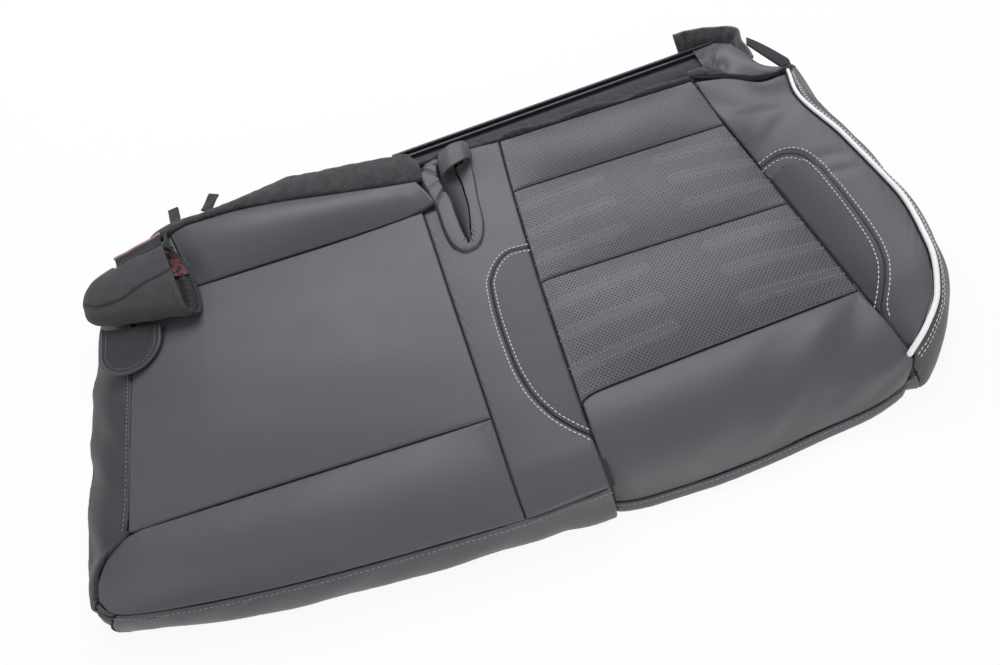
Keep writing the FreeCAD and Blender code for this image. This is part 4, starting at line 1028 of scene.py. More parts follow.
@dataclass
class SeamPlan:
    """Seam lines of the cover, in millimetres: the same plan that the solids are lofted on."""

    left: float = -432
    wide: float = 390
    outer_left: float = 58.33
    front: float = -297
    gap: float = 0.2
    top: float = 50
    thigh: float = -187
    outer_thigh: float = -184
    front_band: float = -40
    middle_band: float = 103
    rear_band: float = 187
    valley: float = 119
    ridge_rear: float = 138.0

    def strip_left(self, y: Array | float) -> Array:
        """The seam between the centre insert and the plain strip."""
        return -42 - 0.042 * np.asarray(y, float)

    def strip_right(self, y: Array | float) -> Array:
        """The bowed seam between the plain strip and the outboard insert."""
        y = np.asarray(y, float)
        return 63.5 + 7.9 * (y / 297) ** 2 + 0.044 * y

    def bolster_seam(self, y: Array | float) -> Array:
        """The seam between the outboard insert and the bolster."""
        return 356 - 0.092 * np.asarray(y, float)

    def share(self, x: Array | float) -> Array:
        """How far across the centre place, from 0 at the inner seam to 1 at the strip."""
        return (np.asarray(x, float) - self.left) / self.wide

    def centre_front(self, x: Array | float) -> Array:
        """The front seam of the centre place and the strip."""
        l = self.left
        return self.front + through([(l - 33, 52), (l - 20, 36), (l, 28), (l + 54, 19), (l + 180, 7),
                                     (l + 300, 2),
                               (l + 400, 0), (l + 490, 5)], x)

    def outer_front(self, x: Array | float) -> Array:
        """The front seam of the outboard place."""
        l = self.outer_left
        return -305 + through([(l, 6), (l + 25, 1), (l + 72, 0), (l + 140, 3), (l + 210, 11), (l + 267, 17),
                               (l + 312, 29), (l + 325, 38)], x)

    def roll_rear(self, x: Array | float) -> Array:
        """The seam between the rear roll and its felt hem."""
        return 211 - through([(0, 44), (0.077, 6), (0.2, 0), (0.338, 1), (0.508, 9), (0.677, 23), (0.874, 40),
                              (1.005, 50)], self.share(x))

    def hem_height(self, x: Array | float) -> Array:
        """The height of that seam."""
        return through([(self.left, 47), (self.left + 40, 49), (self.left + 80, 58)], x)

    def valley_z(self, s: Array | float) -> Array:
        """The height of the valley seam at a share of its length."""
        return 40 + 6 * np.maximum(0, (np.asarray(s, float) - 0.62) / 0.38) ** 2

    def strip_z(self, y: Array | float) -> Array:
        """The height of the strip's seams."""
        return through([(-297, 40), (-275, 46.5), (-247, 50), (119, 50), (187, 56)], y)

    def strip_dip(self, y: Array | float) -> Array:
        """How far the strip's left seam dips towards the valley."""
        return 6 * through([(0, 0), (119, 0.67), (187, 0)], y)

    def thigh_line(self, x: Array | float) -> Array:
        """The seam behind the outboard thigh panel."""
        middle = float(self.strip_right(self.outer_thigh) + self.bolster_seam(self.outer_thigh)) / 2
        return self.outer_thigh + 10 * np.clip((np.asarray(x, float) - middle) / 146.25, -1.1, 1.1)

    def ridge(self, y: Array | float) -> Array:
        """The piping's line along the top of the bolster."""
        y = np.asarray(y, float)
        plan = through([(-260, -0.06), (-243, 0.21), (-216, 0.51), (-162, 0.80), (-85, 0.97), (3, 0.95),
                        (75, 0.86), (138, 1.10)], y)
        fall = through([(-260, -33), (-248, -20.5), (-216, -7.5), (-162, -1), (75, -1), (138, -13)], y)
        return stack(self.bolster_seam(y) + 90 * plan, y, 83 + fall)

    def beside_ridge(self, y: Array | float, distance: float, drop: float) -> Array:
        """A line beside the piping, square to it in plan, outwards where distance is above 0."""
        y = np.asarray(y, float)
        run = self.ridge(y + 1) - self.ridge(y - 1)
        out = unit(stack(run[..., 1], -run[..., 0], 0))
        return self.ridge(y) + out * distance - UP * drop

    def side_foot(self, top: Array) -> Array:
        """The foot of the outer side panel below points of its top."""
        lean = through([(-260, 0.40), (-216, 0.55), (-162, 0.83), (-85, 0.95), (75, 1.30), (138, 1.0)],
                       top[..., 1])
        sweep = through([(-260, -16), (-216, -8), (-162, 0), (75, 6), (138, 58)], top[..., 1])
        return stack(top[..., 0] + 51 * lean, top[..., 1] + sweep, 0)

    def hem_share(self, x: Array | float) -> Array:
        """The depth of the centre hem's top, as a share."""
        return through([(0, 0.4), (0.072, 0.55), (0.159, 0.6), (0.318, 0.75), (0.467, 1.45), (0.608, 2.1),
                        (0.769, 2.25), (0.915, 2.5), (0.985, 2.45), (1.02, 1.5)], self.share(x))


PLAN = SeamPlan()


def bowed(a: Array, b: Array, crown: Array | float, share: Array, lean: float = 0.0) -> Array:
    """A panel crowned between two seams.

    Args:
        a: Points of the first seam, one for each row.
        b: Points of the seam facing it.
        crown: The crown's height at each row.
        share: Shares of the way across.
        lean: How far the crown's top is shifted towards the first seam, from 0 to 1.

    Returns:
        An array of rows, shares and coordinates.
    """
    bent = share ** (1 - 0.45 * lean)
    hump = 4 * bent * (1 - bent)
    lift = np.broadcast_to(np.asarray(crown, float), len(a))[:, None] * hump[None]
    return ruled(a, b, share) + lift[..., None] * UP


def draped_wall(top: Array, foot: Array, bulge: Array | float, share: Array) -> Array:
    """A wall that leans out from its top and bulges on its way down."""
    out = unit(stack(foot[:, 0] - top[:, 0], foot[:, 1] - top[:, 1], 0))
    bulge = np.broadcast_to(np.asarray(bulge, float), len(top))[:, None]
    belly = (top + foot) / 2 + out * bulge + bulge * UP
    return arcs(top, belly, foot, share)


class Ground:
    """Finds the cloth below points in plan, on pieces that are made."""

    def __init__(self, *names: str) -> None:
        """Joins the named pieces into one tree of faces."""
        corners, faces = [], []
        for name in names:
            data = bpy.data.objects[name].data
            start = len(corners)
            corners += [v.co.copy() for v in data.vertices]
            faces += [tuple(start + i for i in f.vertices) for f in data.polygons]
        self.tree = BVHTree.FromPolygons(corners, faces)

    def drop(self, plan: Array, lift: float) -> tuple[Array, Array]:
        """Sets points down on the cloth.

        Args:
            plan: Places in plan, in millimetres.
            lift: How far above the cloth they stay.

        Returns:
            The points that found cloth and the way that it looks there.
        """
        points, out = [], []
        for x, y in plan[:, :2]:
            hit, normal = self.tree.ray_cast(Vector((x, y, DROP_FROM)) * MM, Vector((0, 0, -1)))[:2]
            if hit is None:
                continue
            normal = normal if normal.z > 0 else -normal
            points.append(np.array(hit) / MM + np.array(normal) * lift)
            out.append(np.array(normal))
        return np.array(points).reshape(-1, 3), np.array(out).reshape(-1, 3)


def lofted(points: Sequence[Sequence[float]], at: Array) -> Array:
    """A line rounded through given points, at shares of its length."""
    given = np.array(points, float)
    far = along(given)
    return np.stack([through(list(zip(far, given[:, k])), at * far[-1]) for k in range(given.shape[1])], -1)


def wall_sheet(tops: Sequence, feet: Sequence, bulge: float | Sequence[float], facing: Side,
               step: float = 3.4) -> Sheet:
    """The surface of a wall: rows run along its top seam, columns from the top to the foot."""
    tops, feet = np.array(tops, float), np.array(feet, float)
    middle = along((tops + feet) / 2)
    at = spaced(middle[-1], step) * middle[-1]
    high, low = (np.stack([through(list(zip(middle, side[:, k])), at) for k in range(3)], -1)
                 for side in (tops, feet))
    bulges = through(list(zip(middle, np.broadcast_to(np.asarray(bulge, float), len(tops)))), at)
    tall = float(np.linalg.norm(tops - feet, axis=1).max()) * 1.05
    return Sheet(draped_wall(high, low, bulges, spaced(tall, step)), facing)


WALL_SEAMS = Seams((2.4, 2.4, 2.4, 0.8), (3.4, 3.4, 3.2, 1.2))
TOP_SEAMS = Seams((3.0, 3.0, 3.0, 3.0), (3.4, 3.4, 3.4, 3.4))
LOOSE = Seams((0, 0, 1.6, 0.6), (1, 1, 3, 1))
FREE = Seams((0, 0, 0, 0))


def seam_backing(name: str, first: Array, second: Array, behind: Sequence[float]) -> None:
    """Lays a dark strip of cloth behind a seam that stands open, from under one edge to under the other.

    Args:
        name: The strip's name.
        first: The line of one edge.
        second: The line of the other, in the same order.
        behind: Which way the strip lies from them, and how far.
    """
    at, thickness, away = shares(48), 1.2, np.array(behind, float)
    first, second = lofted(first, at), lofted(second, at)
    over = unit((second - first).mean(0)) * BACKING_REACH
    points = ruled(first - over, second + over, shares(9)) + away
    points[..., 2] = np.maximum(points[..., 2], LOWEST + thickness)
    single_layer(name, points, points + thickness * unit(away), TWILL, facing=Side.OWN)


@dataclass
class CentrePlace:
    """The centre place: insert, thigh panel, rear roll, skirt, inner side and corner welt."""

    grid: float = 3.6
    insert_crown: float = 9
    thigh_crown: float = 14
    roll_crown: float = 17
    panel: float = 5
    wall: float = 3.5
    skirt: Optional[Sheet] = None
    side: Optional[Sheet] = None

    def build(self) -> None:
        """Makes every piece of the centre place."""
        self.insert()
        self.thigh_panel()
        self.rear_roll()
        self.corner_panel()
        self.inner_side()
        self.front_skirt()
        self.welt()
        self.turns()

    def insert(self) -> None:
        """The plain insert, crowned and dipping into the valley at its rear."""
        s = spaced(PLAN.wide, self.grid)
        front_y, rear_y = PLAN.thigh + PLAN.gap, PLAN.valley - PLAN.gap
        front = stack(mix(PLAN.left + PLAN.gap, PLAN.strip_left(front_y) - PLAN.gap, s), front_y,
                      mix(45, 50, np.minimum(1, 4 * s)))
        rear = stack(mix(PLAN.left + PLAN.gap, PLAN.strip_left(rear_y) - PLAN.gap, s), rear_y,
                     PLAN.valley_z(s))
        cloth = Sheet(bowed(front, rear, swell(s) * self.insert_crown + 2, spaced(305, self.grid)))
        Cut("centre_insert_panel_sewn", ("centre_insert_panel",), LEATHERETTE, self.panel, seams=TOP_SEAMS,
            wrinkle=0.7, spread=130, seed=3).make(cloth)

    def thigh_panel(self) -> None:
        """The panel in front of the insert, which rolls down to the front seam."""
        left = PLAN.left
        s = spaced(436, self.grid)
        front_x = mix(left - 33, PLAN.strip_left(PLAN.front) - PLAN.gap, s)
        rear_x = mix(left - 33, PLAN.strip_left(PLAN.thigh) - PLAN.gap, s)
        turn = PLAN.thigh + through([(left - 33, -40), (left - 24, -20), (left - 6, -4), (left + 20, 0)],
                                    rear_x)
        front = stack(front_x, PLAN.centre_front(front_x) + PLAN.gap, 40)
        rear = stack(rear_x, turn - PLAN.gap, mix(42, 50, held((front_x - left + 34) / 50)))
        crown = np.maximum(2.5, self.thigh_crown * swell(s))
        cloth = Sheet(bowed(front, rear, crown, spaced(112, self.grid), 0.4))
        Cut("centre_thigh_panel_sewn", ("centre_thigh_panel",), LEATHERETTE, self.panel, seams=TOP_SEAMS,
            wrinkle=0.8, spread=110, pucker=0.5, seed=5).make(cloth)

    def rear_roll(self) -> None:
        """The roll behind the valley seam, drawn in at its left end beside the buckle sleeve."""
        s = spaced(290, self.grid)
        front = stack(mix(PLAN.left + 81, PLAN.strip_left(PLAN.valley) + 20, s), PLAN.valley + PLAN.gap,
                      PLAN.valley_z(s) + through([(0.88, 0), (1, 9)], s))
        rear_x = mix(PLAN.left + 54, PLAN.strip_left(PLAN.roll_rear(-40)) + 5, s)
        rear = stack(rear_x, PLAN.roll_rear(rear_x) - PLAN.gap, PLAN.hem_height(rear_x))
        crown = np.maximum(2, swell(s) * self.roll_crown * (rear[:, 1] - front[:, 1]) / 92)
        cloth = Sheet(bowed(front, rear, crown, spaced(98, self.grid)))
        Cut("centre_rear_roll_sewn", ("centre_rear_roll",), LEATHERETTE, self.panel, seams=TOP_SEAMS,
            wrinkle=0.8, spread=120, seed=8).make(cloth)

    def corner_panel(self) -> None:
        """The panel below the buckle sleeve, from the valley seam to the hem."""
        run = mix(0.2, 53.2, spaced(53, 4))
        left = PLAN.left + PLAN.gap
        front = stack(left + run * 81 / 54, PLAN.valley + PLAN.gap, 40)
        rear = stack(left + run, PLAN.roll_rear(left + run) - 0.4, PLAN.hem_height(left + run) - 1)
        cloth = Sheet(bowed(front, rear, 2, spaced(80, 4)))
        Cut("buckle_corner_panel_sewn", ("buckle_corner_panel",), LEATHERETTE, self.panel, seams=TOP_SEAMS,
            wrinkle=0.4, seed=9).make(cloth)

    def inner_side(self) -> None:
        """The side panel that leans out to the floor and wraps the front left corner."""
        left = PLAN.left - PLAN.gap
        tops, feet = [(left, 166, 45)], [(left - 1, 188, 0)]
        for y, shift, share in ((165, 0, 0.96), (60, 0, 1), (0, 0, 1.04), (-80, 0, 1), (-150, 0, 1),
                                (-187, -4, 0.97), (-207, -27, 0.92), (-228, -35, 0.80), (-244, -35, 0.70)):
            tops.append((left + shift, y, 45 - 0.08 * abs(shift)))
            feet.append((PLAN.left - 75 * share, y - 0.1 * abs(shift), 0))
        cloth = wall_sheet(tops, feet, [2] + [5] * 9, Side.LEFT)
        runs = cloth.edge_distances()[0]
        down = cloth.edge_distances()[2]
        soft = held(down / 30) * (1.5 * waves(runs + 0.35 * down, 95, 12) + 0.5 * waves(runs, 33, 14))
        # The side panel's darker colour is painted shade for its poorly lit side.
        self.side = Cut("inner_side_panel_sewn", ("inner_side_panel",), SHADED_SIDE_LEATHERETTE, self.wall,
                        seams=WALL_SEAMS, wrinkle=1.1, spread=60, pucker=0.7,
                        seed=11).make(cloth.moved(soft * held(runs / 20)))

    def front_skirt(self) -> None:
        """The skirt below the front seam of the centre place and the strip."""
        left = PLAN.left
        tops = [(left - 14.8, -264.6, 38.6)]
        feet = [(left - 30.2, -270.6, 0)]
        for x in (left + 5, left + 54, left + 120, left + 200, left + 300, left + 400, left + 460, 58.1):
            y = float(PLAN.centre_front(x)) - PLAN.gap
            lean = float(through([(left, 0.4), (left + 60, 0.75), (left + 200, 1), (left + 400, 1),
                                  (left + 490, 1.6)], x))
            tops.append((x, y, 40))
            feet.append((x, y - lean * 11, 0))
        cloth = wall_sheet(tops, feet, 5, Side.FRONT, 3.2)
        runs, down = cloth.edge_distances()[0], cloth.edge_distances()[2]
        soft = held(down / 18) * (1.2 * waves(runs + 1.6 * down, 120, 21) - 2 * bump(runs, 470, 16))
        self.skirt = Cut("centre_front_skirt_sewn", ("centre_front_skirt",), LEATHERETTE, self.wall,
                         seams=WALL_SEAMS, wrinkle=0.4, pucker=0.5, seed=22).make(cloth.moved(soft))

    def welt(self) -> None:
        """The folded band that closes the front left corner, gathered by its stitches."""
        left = PLAN.left
        tops = [(left - 33.5, -248.8, 41), (left - 27, -256.8, 40), (left - 15.5, -262.8, 39)]
        feet = [(left - 49, -250, 0), (left - 43, -259, 0), (left - 31, -268, 0)]
        cloth = wall_sheet(tops, feet, 3, Side.LEFT, 1.8)
        down = cloth.edge_distances()[2]
        cloth = cloth.moved(1.1 * waves(down, 11, 31) * held(down / 6))
        welt = Cut("corner_welt_sewn", ("corner_welt",), SHADED_LEATHERETTE, self.wall, seams=WALL_SEAMS,
                   wrinkle=0.6, spread=16, pucker=0.5, seed=32).make(cloth)
        seam_backing("welt_side_backing", self.side.points[-1], welt.points[0], (2.4, 2.0, 0))
        seam_backing("welt_front_backing", welt.points[-1], self.skirt.points[0], (1.0, 3.0, 0))

    def turns(self) -> None:
        """The side panel's rear end, turned in, and the skirt's return beside the strip."""
        line = [(-432, 167, 44), (-432, 181, 28), (-432.5, 189, 4)]
        # The turned-in rear end takes the side panel's darker colour, which is painted shade.
        cord("side_rear_turn", lofted(line, spaced(60, 2, edges=False)), 3.6, SHADED_SIDE_LEATHERETTE, 12, 0.9)
        under = float(PLAN.strip_z(-262.0)) - 3
        front, rear = (lofted(ends, spaced(34, 3, edges=False)) for ends in (
            [(58.4, -308.8, 0.5), (58.4, -304.2, 20), (58.4, -291.6, 39)],
            [(58.4, -263, 0.5), (58.4, -262, under)]))
        share = spaced(44, 3)[:, None, None]
        cloth = Sheet(mix(rear[None], front[None], share), Side.RIGHT)
        Cut("centre_skirt_return", (), LEATHERETTE, self.wall, seams=Seams((1, 1, 1, 0.8), (2, 2, 2, 1.2)),
            wrinkle=0.1, pucker=0.1, seed=33).make(cloth)


@dataclass
class PatchShape:
    """A D-shaped patch: how deep it is at places along its straight seam."""

    knots: Knots
    side: int

    def rows(self) -> Array:
        """Places along the seam, closer together at both rounded ends."""
        low, high = self.knots[0][0], self.knots[-1][0]
        bunched = 0.5 - 0.5 * np.cos(np.pi * shares(96))
        return low + (high - low) * bunched

    def depth(self, y: Array) -> Array:
        """How far the patch reaches from its straight seam."""
        return np.maximum(0.6, through(self.knots, y))

    def outline(self, seam: Callable[[Array], Array], grow: float = 0) -> Array:
        """The bowed side in plan, from front to rear, moved outwards by grow."""
        y = self.rows()
        line = np.stack([seam(y) + self.side * self.depth(y), y], -1)
        line = np.concatenate([line, [[float(seam(y[-1])), y[-1]]]])
        line = evenly(line, 2, smooth=False)
        run = unit(np.gradient(line, axis=0))
        return line + self.side * grow * np.stack([run[:, 1], -run[:, 0]], -1)

    def row(self, seam: Callable[[Array], Array], grow: float, least: float, step: float) -> Array:
        """Places a step apart along the outline, where it is at least so far from its straight seam."""
        line = self.outline(seam, grow)
        beyond = self.side * (line[:, 0] - seam(line[:, 1]))
        return evenly(line[beyond > least], step, smooth=False)


STRIP_PATCH = PatchShape([(-239.5, 0), (-236, 3), (-224, 16), (-204, 32), (-170, 47), (-131, 54), (-67, 57),
                          (-29, 55.3), (-13, 49), (1, 38.5), (8, 29), (10.5, 22)], -1)
BOLSTER_PATCH = PatchShape([(-213, 0), (-201, 4.5), (-188, 13), (-175, 21), (-160, 28.5), (-131, 36),
                            (-83, 40.5), (-32, 42), (-16, 41.6), (-4, 39.4), (5, 36), (12, 31.2),
                            (16.5, 26), (19, 20.5), (20.4, 14)], 1)


def patch_dip(points: Array, outline: Array) -> tuple[Array, Array]:
    """How far a panel is let down along a patch's seam and under it, and which points lie under it."""
    far_off, under = nearest(points, outline), inside(points, outline)
    beside = PATCH_DIP * np.exp(-(far_off / PATCH_GROOVE) ** 2)
    return np.where(under, PATCH_DIP + np.minimum(1, far_off * 0.5), beside), under


@dataclass
class PlainStrip:
    """The plain strip between the two places, with its patch and the buckle pocket."""

    grid: float = 2.0
    crown: float = 4
    panel: float = 5
    pocket_cut: Knots = ((-21, 180), (-21, 60), (-14, 38), (-4, 32), (6, 34), (13, 44), (18, 90), (22, 180))
    outer_line: Knots = ((-17, 197), (-38, 170), (-33, 134), (-28, 107), (-28, 92), (-27, 70), (-24, 49),
                         (-18, 35), (-8, 28), (3, 28.5), (13, 35), (20, 50), (24, 69), (26, 102), (30.5, 141),
                         (33, 170))
    inner_line: Knots = ((-9, 188), (-12, 162), (-10, 139), (-6, 113), (-5, 90), (-4, 66), (-3, 52),
                         (-2.4, 44), (-1, 42), (0.6, 44), (2.4, 51), (4, 62), (7, 79), (10, 104), (10, 130),
                         (7, 162))

    def build(self) -> None:
        """Makes the strip, its patch and the pocket."""
        self.strip()
        self.patch()
        self.pocket_rim()
        self.pocket_liner()
        self.strap()

    def surface(self, y: Array, near: Array, far: Array, share: Array) -> Array:
        """The strip's crowned surface on rows y, between two lines in plan."""
        z = PLAN.strip_z(y)
        left = stack(PLAN.strip_left(y) + PLAN.gap, y, z - PLAN.strip_dip(y))
        right = stack(PLAN.strip_right(y) - PLAN.gap, y, z)
        x = near[:, None] + (far - near)[:, None] * share[None]
        u = (x - left[:, None, 0]) / (right - left)[:, None, 0]
        points = left[:, None] + (right - left)[:, None] * u[..., None]
        points[..., 2] += 4 * self.crown * u * (1 - u)
        slant = held((y + 237) / -60)[:, None] * (PLAN.centre_front(x) + 297.2)
        points[..., 1] += slant
        return points

    def strip(self) -> None:
        """The strip itself, which dips along the patch's seam and is cut out for the pocket."""
        y = mix(PLAN.front, PLAN.rear_band, spaced(484, self.grid))
        near, far = PLAN.strip_left(y) + PLAN.gap, PLAN.strip_right(y) - PLAN.gap
        cloth = Sheet(self.surface(y, near, far, spaced(105, self.grid)))
        outline = STRIP_PATCH.outline(PLAN.strip_right)
        dip, _ = patch_dip(cloth.points, outline)
        over = held((PLAN.strip_left(cloth.points[..., 1]) + 24 - cloth.points[..., 0]) / 6)
        dip = dip + 5 * over * held((cloth.points[..., 1] - 110) / 8)
        cut = np.array(self.pocket_cut, float)
        middles = (cloth.points[1:, 1:] + cloth.points[:-1, :-1]) / 2
        lowered = Sheet(cloth.points - dip[..., None] * UP)
        inner = cloth.points - UP * (self.panel + 0.6)
        Cut("centre_strip_panel_sewn", ("centre_strip_panel",), LEATHERETTE, self.panel, seams=TOP_SEAMS,
            wrinkle=0.5, spread=90, seed=41).make(lowered, inner, keep=~inside(middles, cut))

    def patch(self) -> None:
        """The D-shaped patch let into the strip, its edge turned down into the seam."""
        y = STRIP_PATCH.rows()
        far = PLAN.strip_right(y) - PLAN.gap
        near = far - STRIP_PATCH.depth(y) + 0.5
        cloth = Sheet(self.surface(y, near, far, spaced(57, self.grid)))
        Cut("centre_strip_patch_sewn", ("centre_strip_patch",), PATCH_LEATHERETTE, 2.4,
            seams=Seams((2.6, 2.6, 2.6, 3), (2.6, 2.6, 2.6, 3.4)), wrinkle=0.4, seed=43,
            backing=TWILL).make(cloth)

    def pocket_rim(self) -> None:
        """The soft rim: wide and crumpled down the left leg, gathered round the front end."""
        t = shares(190)
        outer, inner = lofted(self.outer_line, t), lofted(self.inner_line, t)
        share = shares(40)
        width = np.linalg.norm(outer - inner, axis=1)
        rise = np.clip(4.4 + width * 0.12, 5, 7.2)
        flat = ruled(outer, inner, share)
        arch = np.minimum(1, 2.8 * np.sin(np.pi * share)) ** 0.8 * (0.8 + 0.2 * np.sin(np.pi * share))
        z = 51 + rise[:, None] * arch[None] - 9 * held((share - 0.86) / 0.14)[None] ** 1.5
        points = np.concatenate([flat, z[..., None]], -1)
        front = bump(t, 0.57, 0.06)[:, None]
        pleats = (1 - np.abs(np.sin(np.pi * t * 460 / 11 + 1))) ** 3
        gather = front * (-3.0 * pleats[:, None] * held((share - 0.35) / 0.4)[None])
        leg = held((0.36 - t) / 0.12)[:, None]
        crumple = leg * (1.9 * folds(points, 44, 53) + 0.4 * folds(points, 17, 54))
        crease = -3.2 * leg * np.exp(-((points[..., 1] - 120 - 1.4 * (points[..., 0] + 22)) / 3.4) ** 2)
        crease -= 2.2 * leg * np.exp(-((points[..., 1] - 168 + 0.9 * (points[..., 0] + 22)) / 3.0) ** 2)
        crease -= 1.8 * leg * np.exp(-((points[..., 1] - 145 - 0.5 * (points[..., 0] + 22)) / 2.6) ** 2)
        fade = held(share / 0.12)[None]
        cloth = Sheet(points).moved(fade * (gather + crumple + crease))
        cloth = cloth.sewn(Seams((0, 0, 2.2, 0), (1, 1, 2.4, 1)), 0.3, 55)
        inner_side = cloth.points - cloth.normals * 2.2
        inner_side[..., 2] = np.maximum(inner_side[..., 2], 38)
        piece = shell("buckle_pocket_rim_sewn", cloth.points, inner_side, (LEATHERETTE, BACKING), Side.UP)
        hand_over(piece, ("buckle_pocket_rim",))
        # A thin dark cord round the rim's outer edge: painted shadow under the rim's edge.
        border = np.concatenate([outer, np.full((len(t), 1), 50.7)], -1)
        cord("buckle_pocket_seam", evenly(border, 2), 1.2, TWILL, 8)

    def pocket_liner(self) -> None:
        """The liner that hangs in the slot, its walls closing in towards the bottom."""
        t = shares(120)
        line = lofted(self.inner_line, t)
        line[:, 0] += through([(0, -1.5), (0.45, -0.6), (0.6, 1), (1, 3)], t)
        middle = np.stack([1 + 0 * t, np.clip(line[:, 1], 48, 165)], -1)
        share = shares(26)
        flat = ruled(line, middle, -0.3 + 1.28 * share ** 0.8)
        z = 50 - 30 * share[None] + 0 * t[:, None]
        points = np.concatenate([flat, z[..., None]], -1)
        cloth = Sheet(points, Side.OWN).moved(0.9 * folds(points, 30, 57))
        single_layer("buckle_pocket_liner_sewn", cloth.points, cloth.moved(-1.2).points, POCKET_CLOTH,
                     ("buckle_pocket_liner",), facing=Side.OWN)
        self.inner_fold()

    def inner_fold(self) -> None:
        """The right leg's cloth, folded along a crease and laid down to the left inside the pocket."""
        t = shares(110)
        crest = lofted([(9, 200, 58), (8, 157, 57.5), (10, 130, 57.5), (10, 104, 57), (7.5, 79, 56),
                        (3.5, 60, 54.5), (1.4, 42, 51)], t)
        low = lofted([(-15, 200, 46), (-17, 158, 45), (-13, 130, 44), (-11, 104, 43.5), (-9, 79, 43),
                      (-7, 60, 43), (-2.5, 41, 45)], t)
        share = shares(26)
        points = ruled(low, crest, share)
        points[..., 2] += 2.6 * np.sin(np.pi * share)[None] + 0.7 * folds(points, 48, 60)
        single_layer("buckle_pocket_inner_fold", points, Sheet(points).moved(-1.6).points, POCKET_LEATHERETTE)

    def strap(self) -> None:
        """The short strap that arches over the pocket's rear end, twisted a little."""
        near = lofted([(-11, 153, 60), (-6, 151, 68), (8, 152, 75), (24, 158, 73), (34, 166, 61)],
                      spaced(58, 2, edges=False))
        far = lofted([(-11, 180, 59), (-4, 182, 70), (12, 186, 77), (28, 190, 73), (36, 193, 60)],
                     spaced(58, 2, edges=False))
        share = shares(22)
        points = ruled(near, far, share)
        points[..., 2] += 1.6 * np.sin(np.pi * share)[None] + 0.5 * folds(points, 26, 59)
        single_layer("buckle_pocket_strap_sewn", points, Sheet(points).moved(-1.8).points, LEATHERETTE,
                     ("buckle_pocket_strap",))


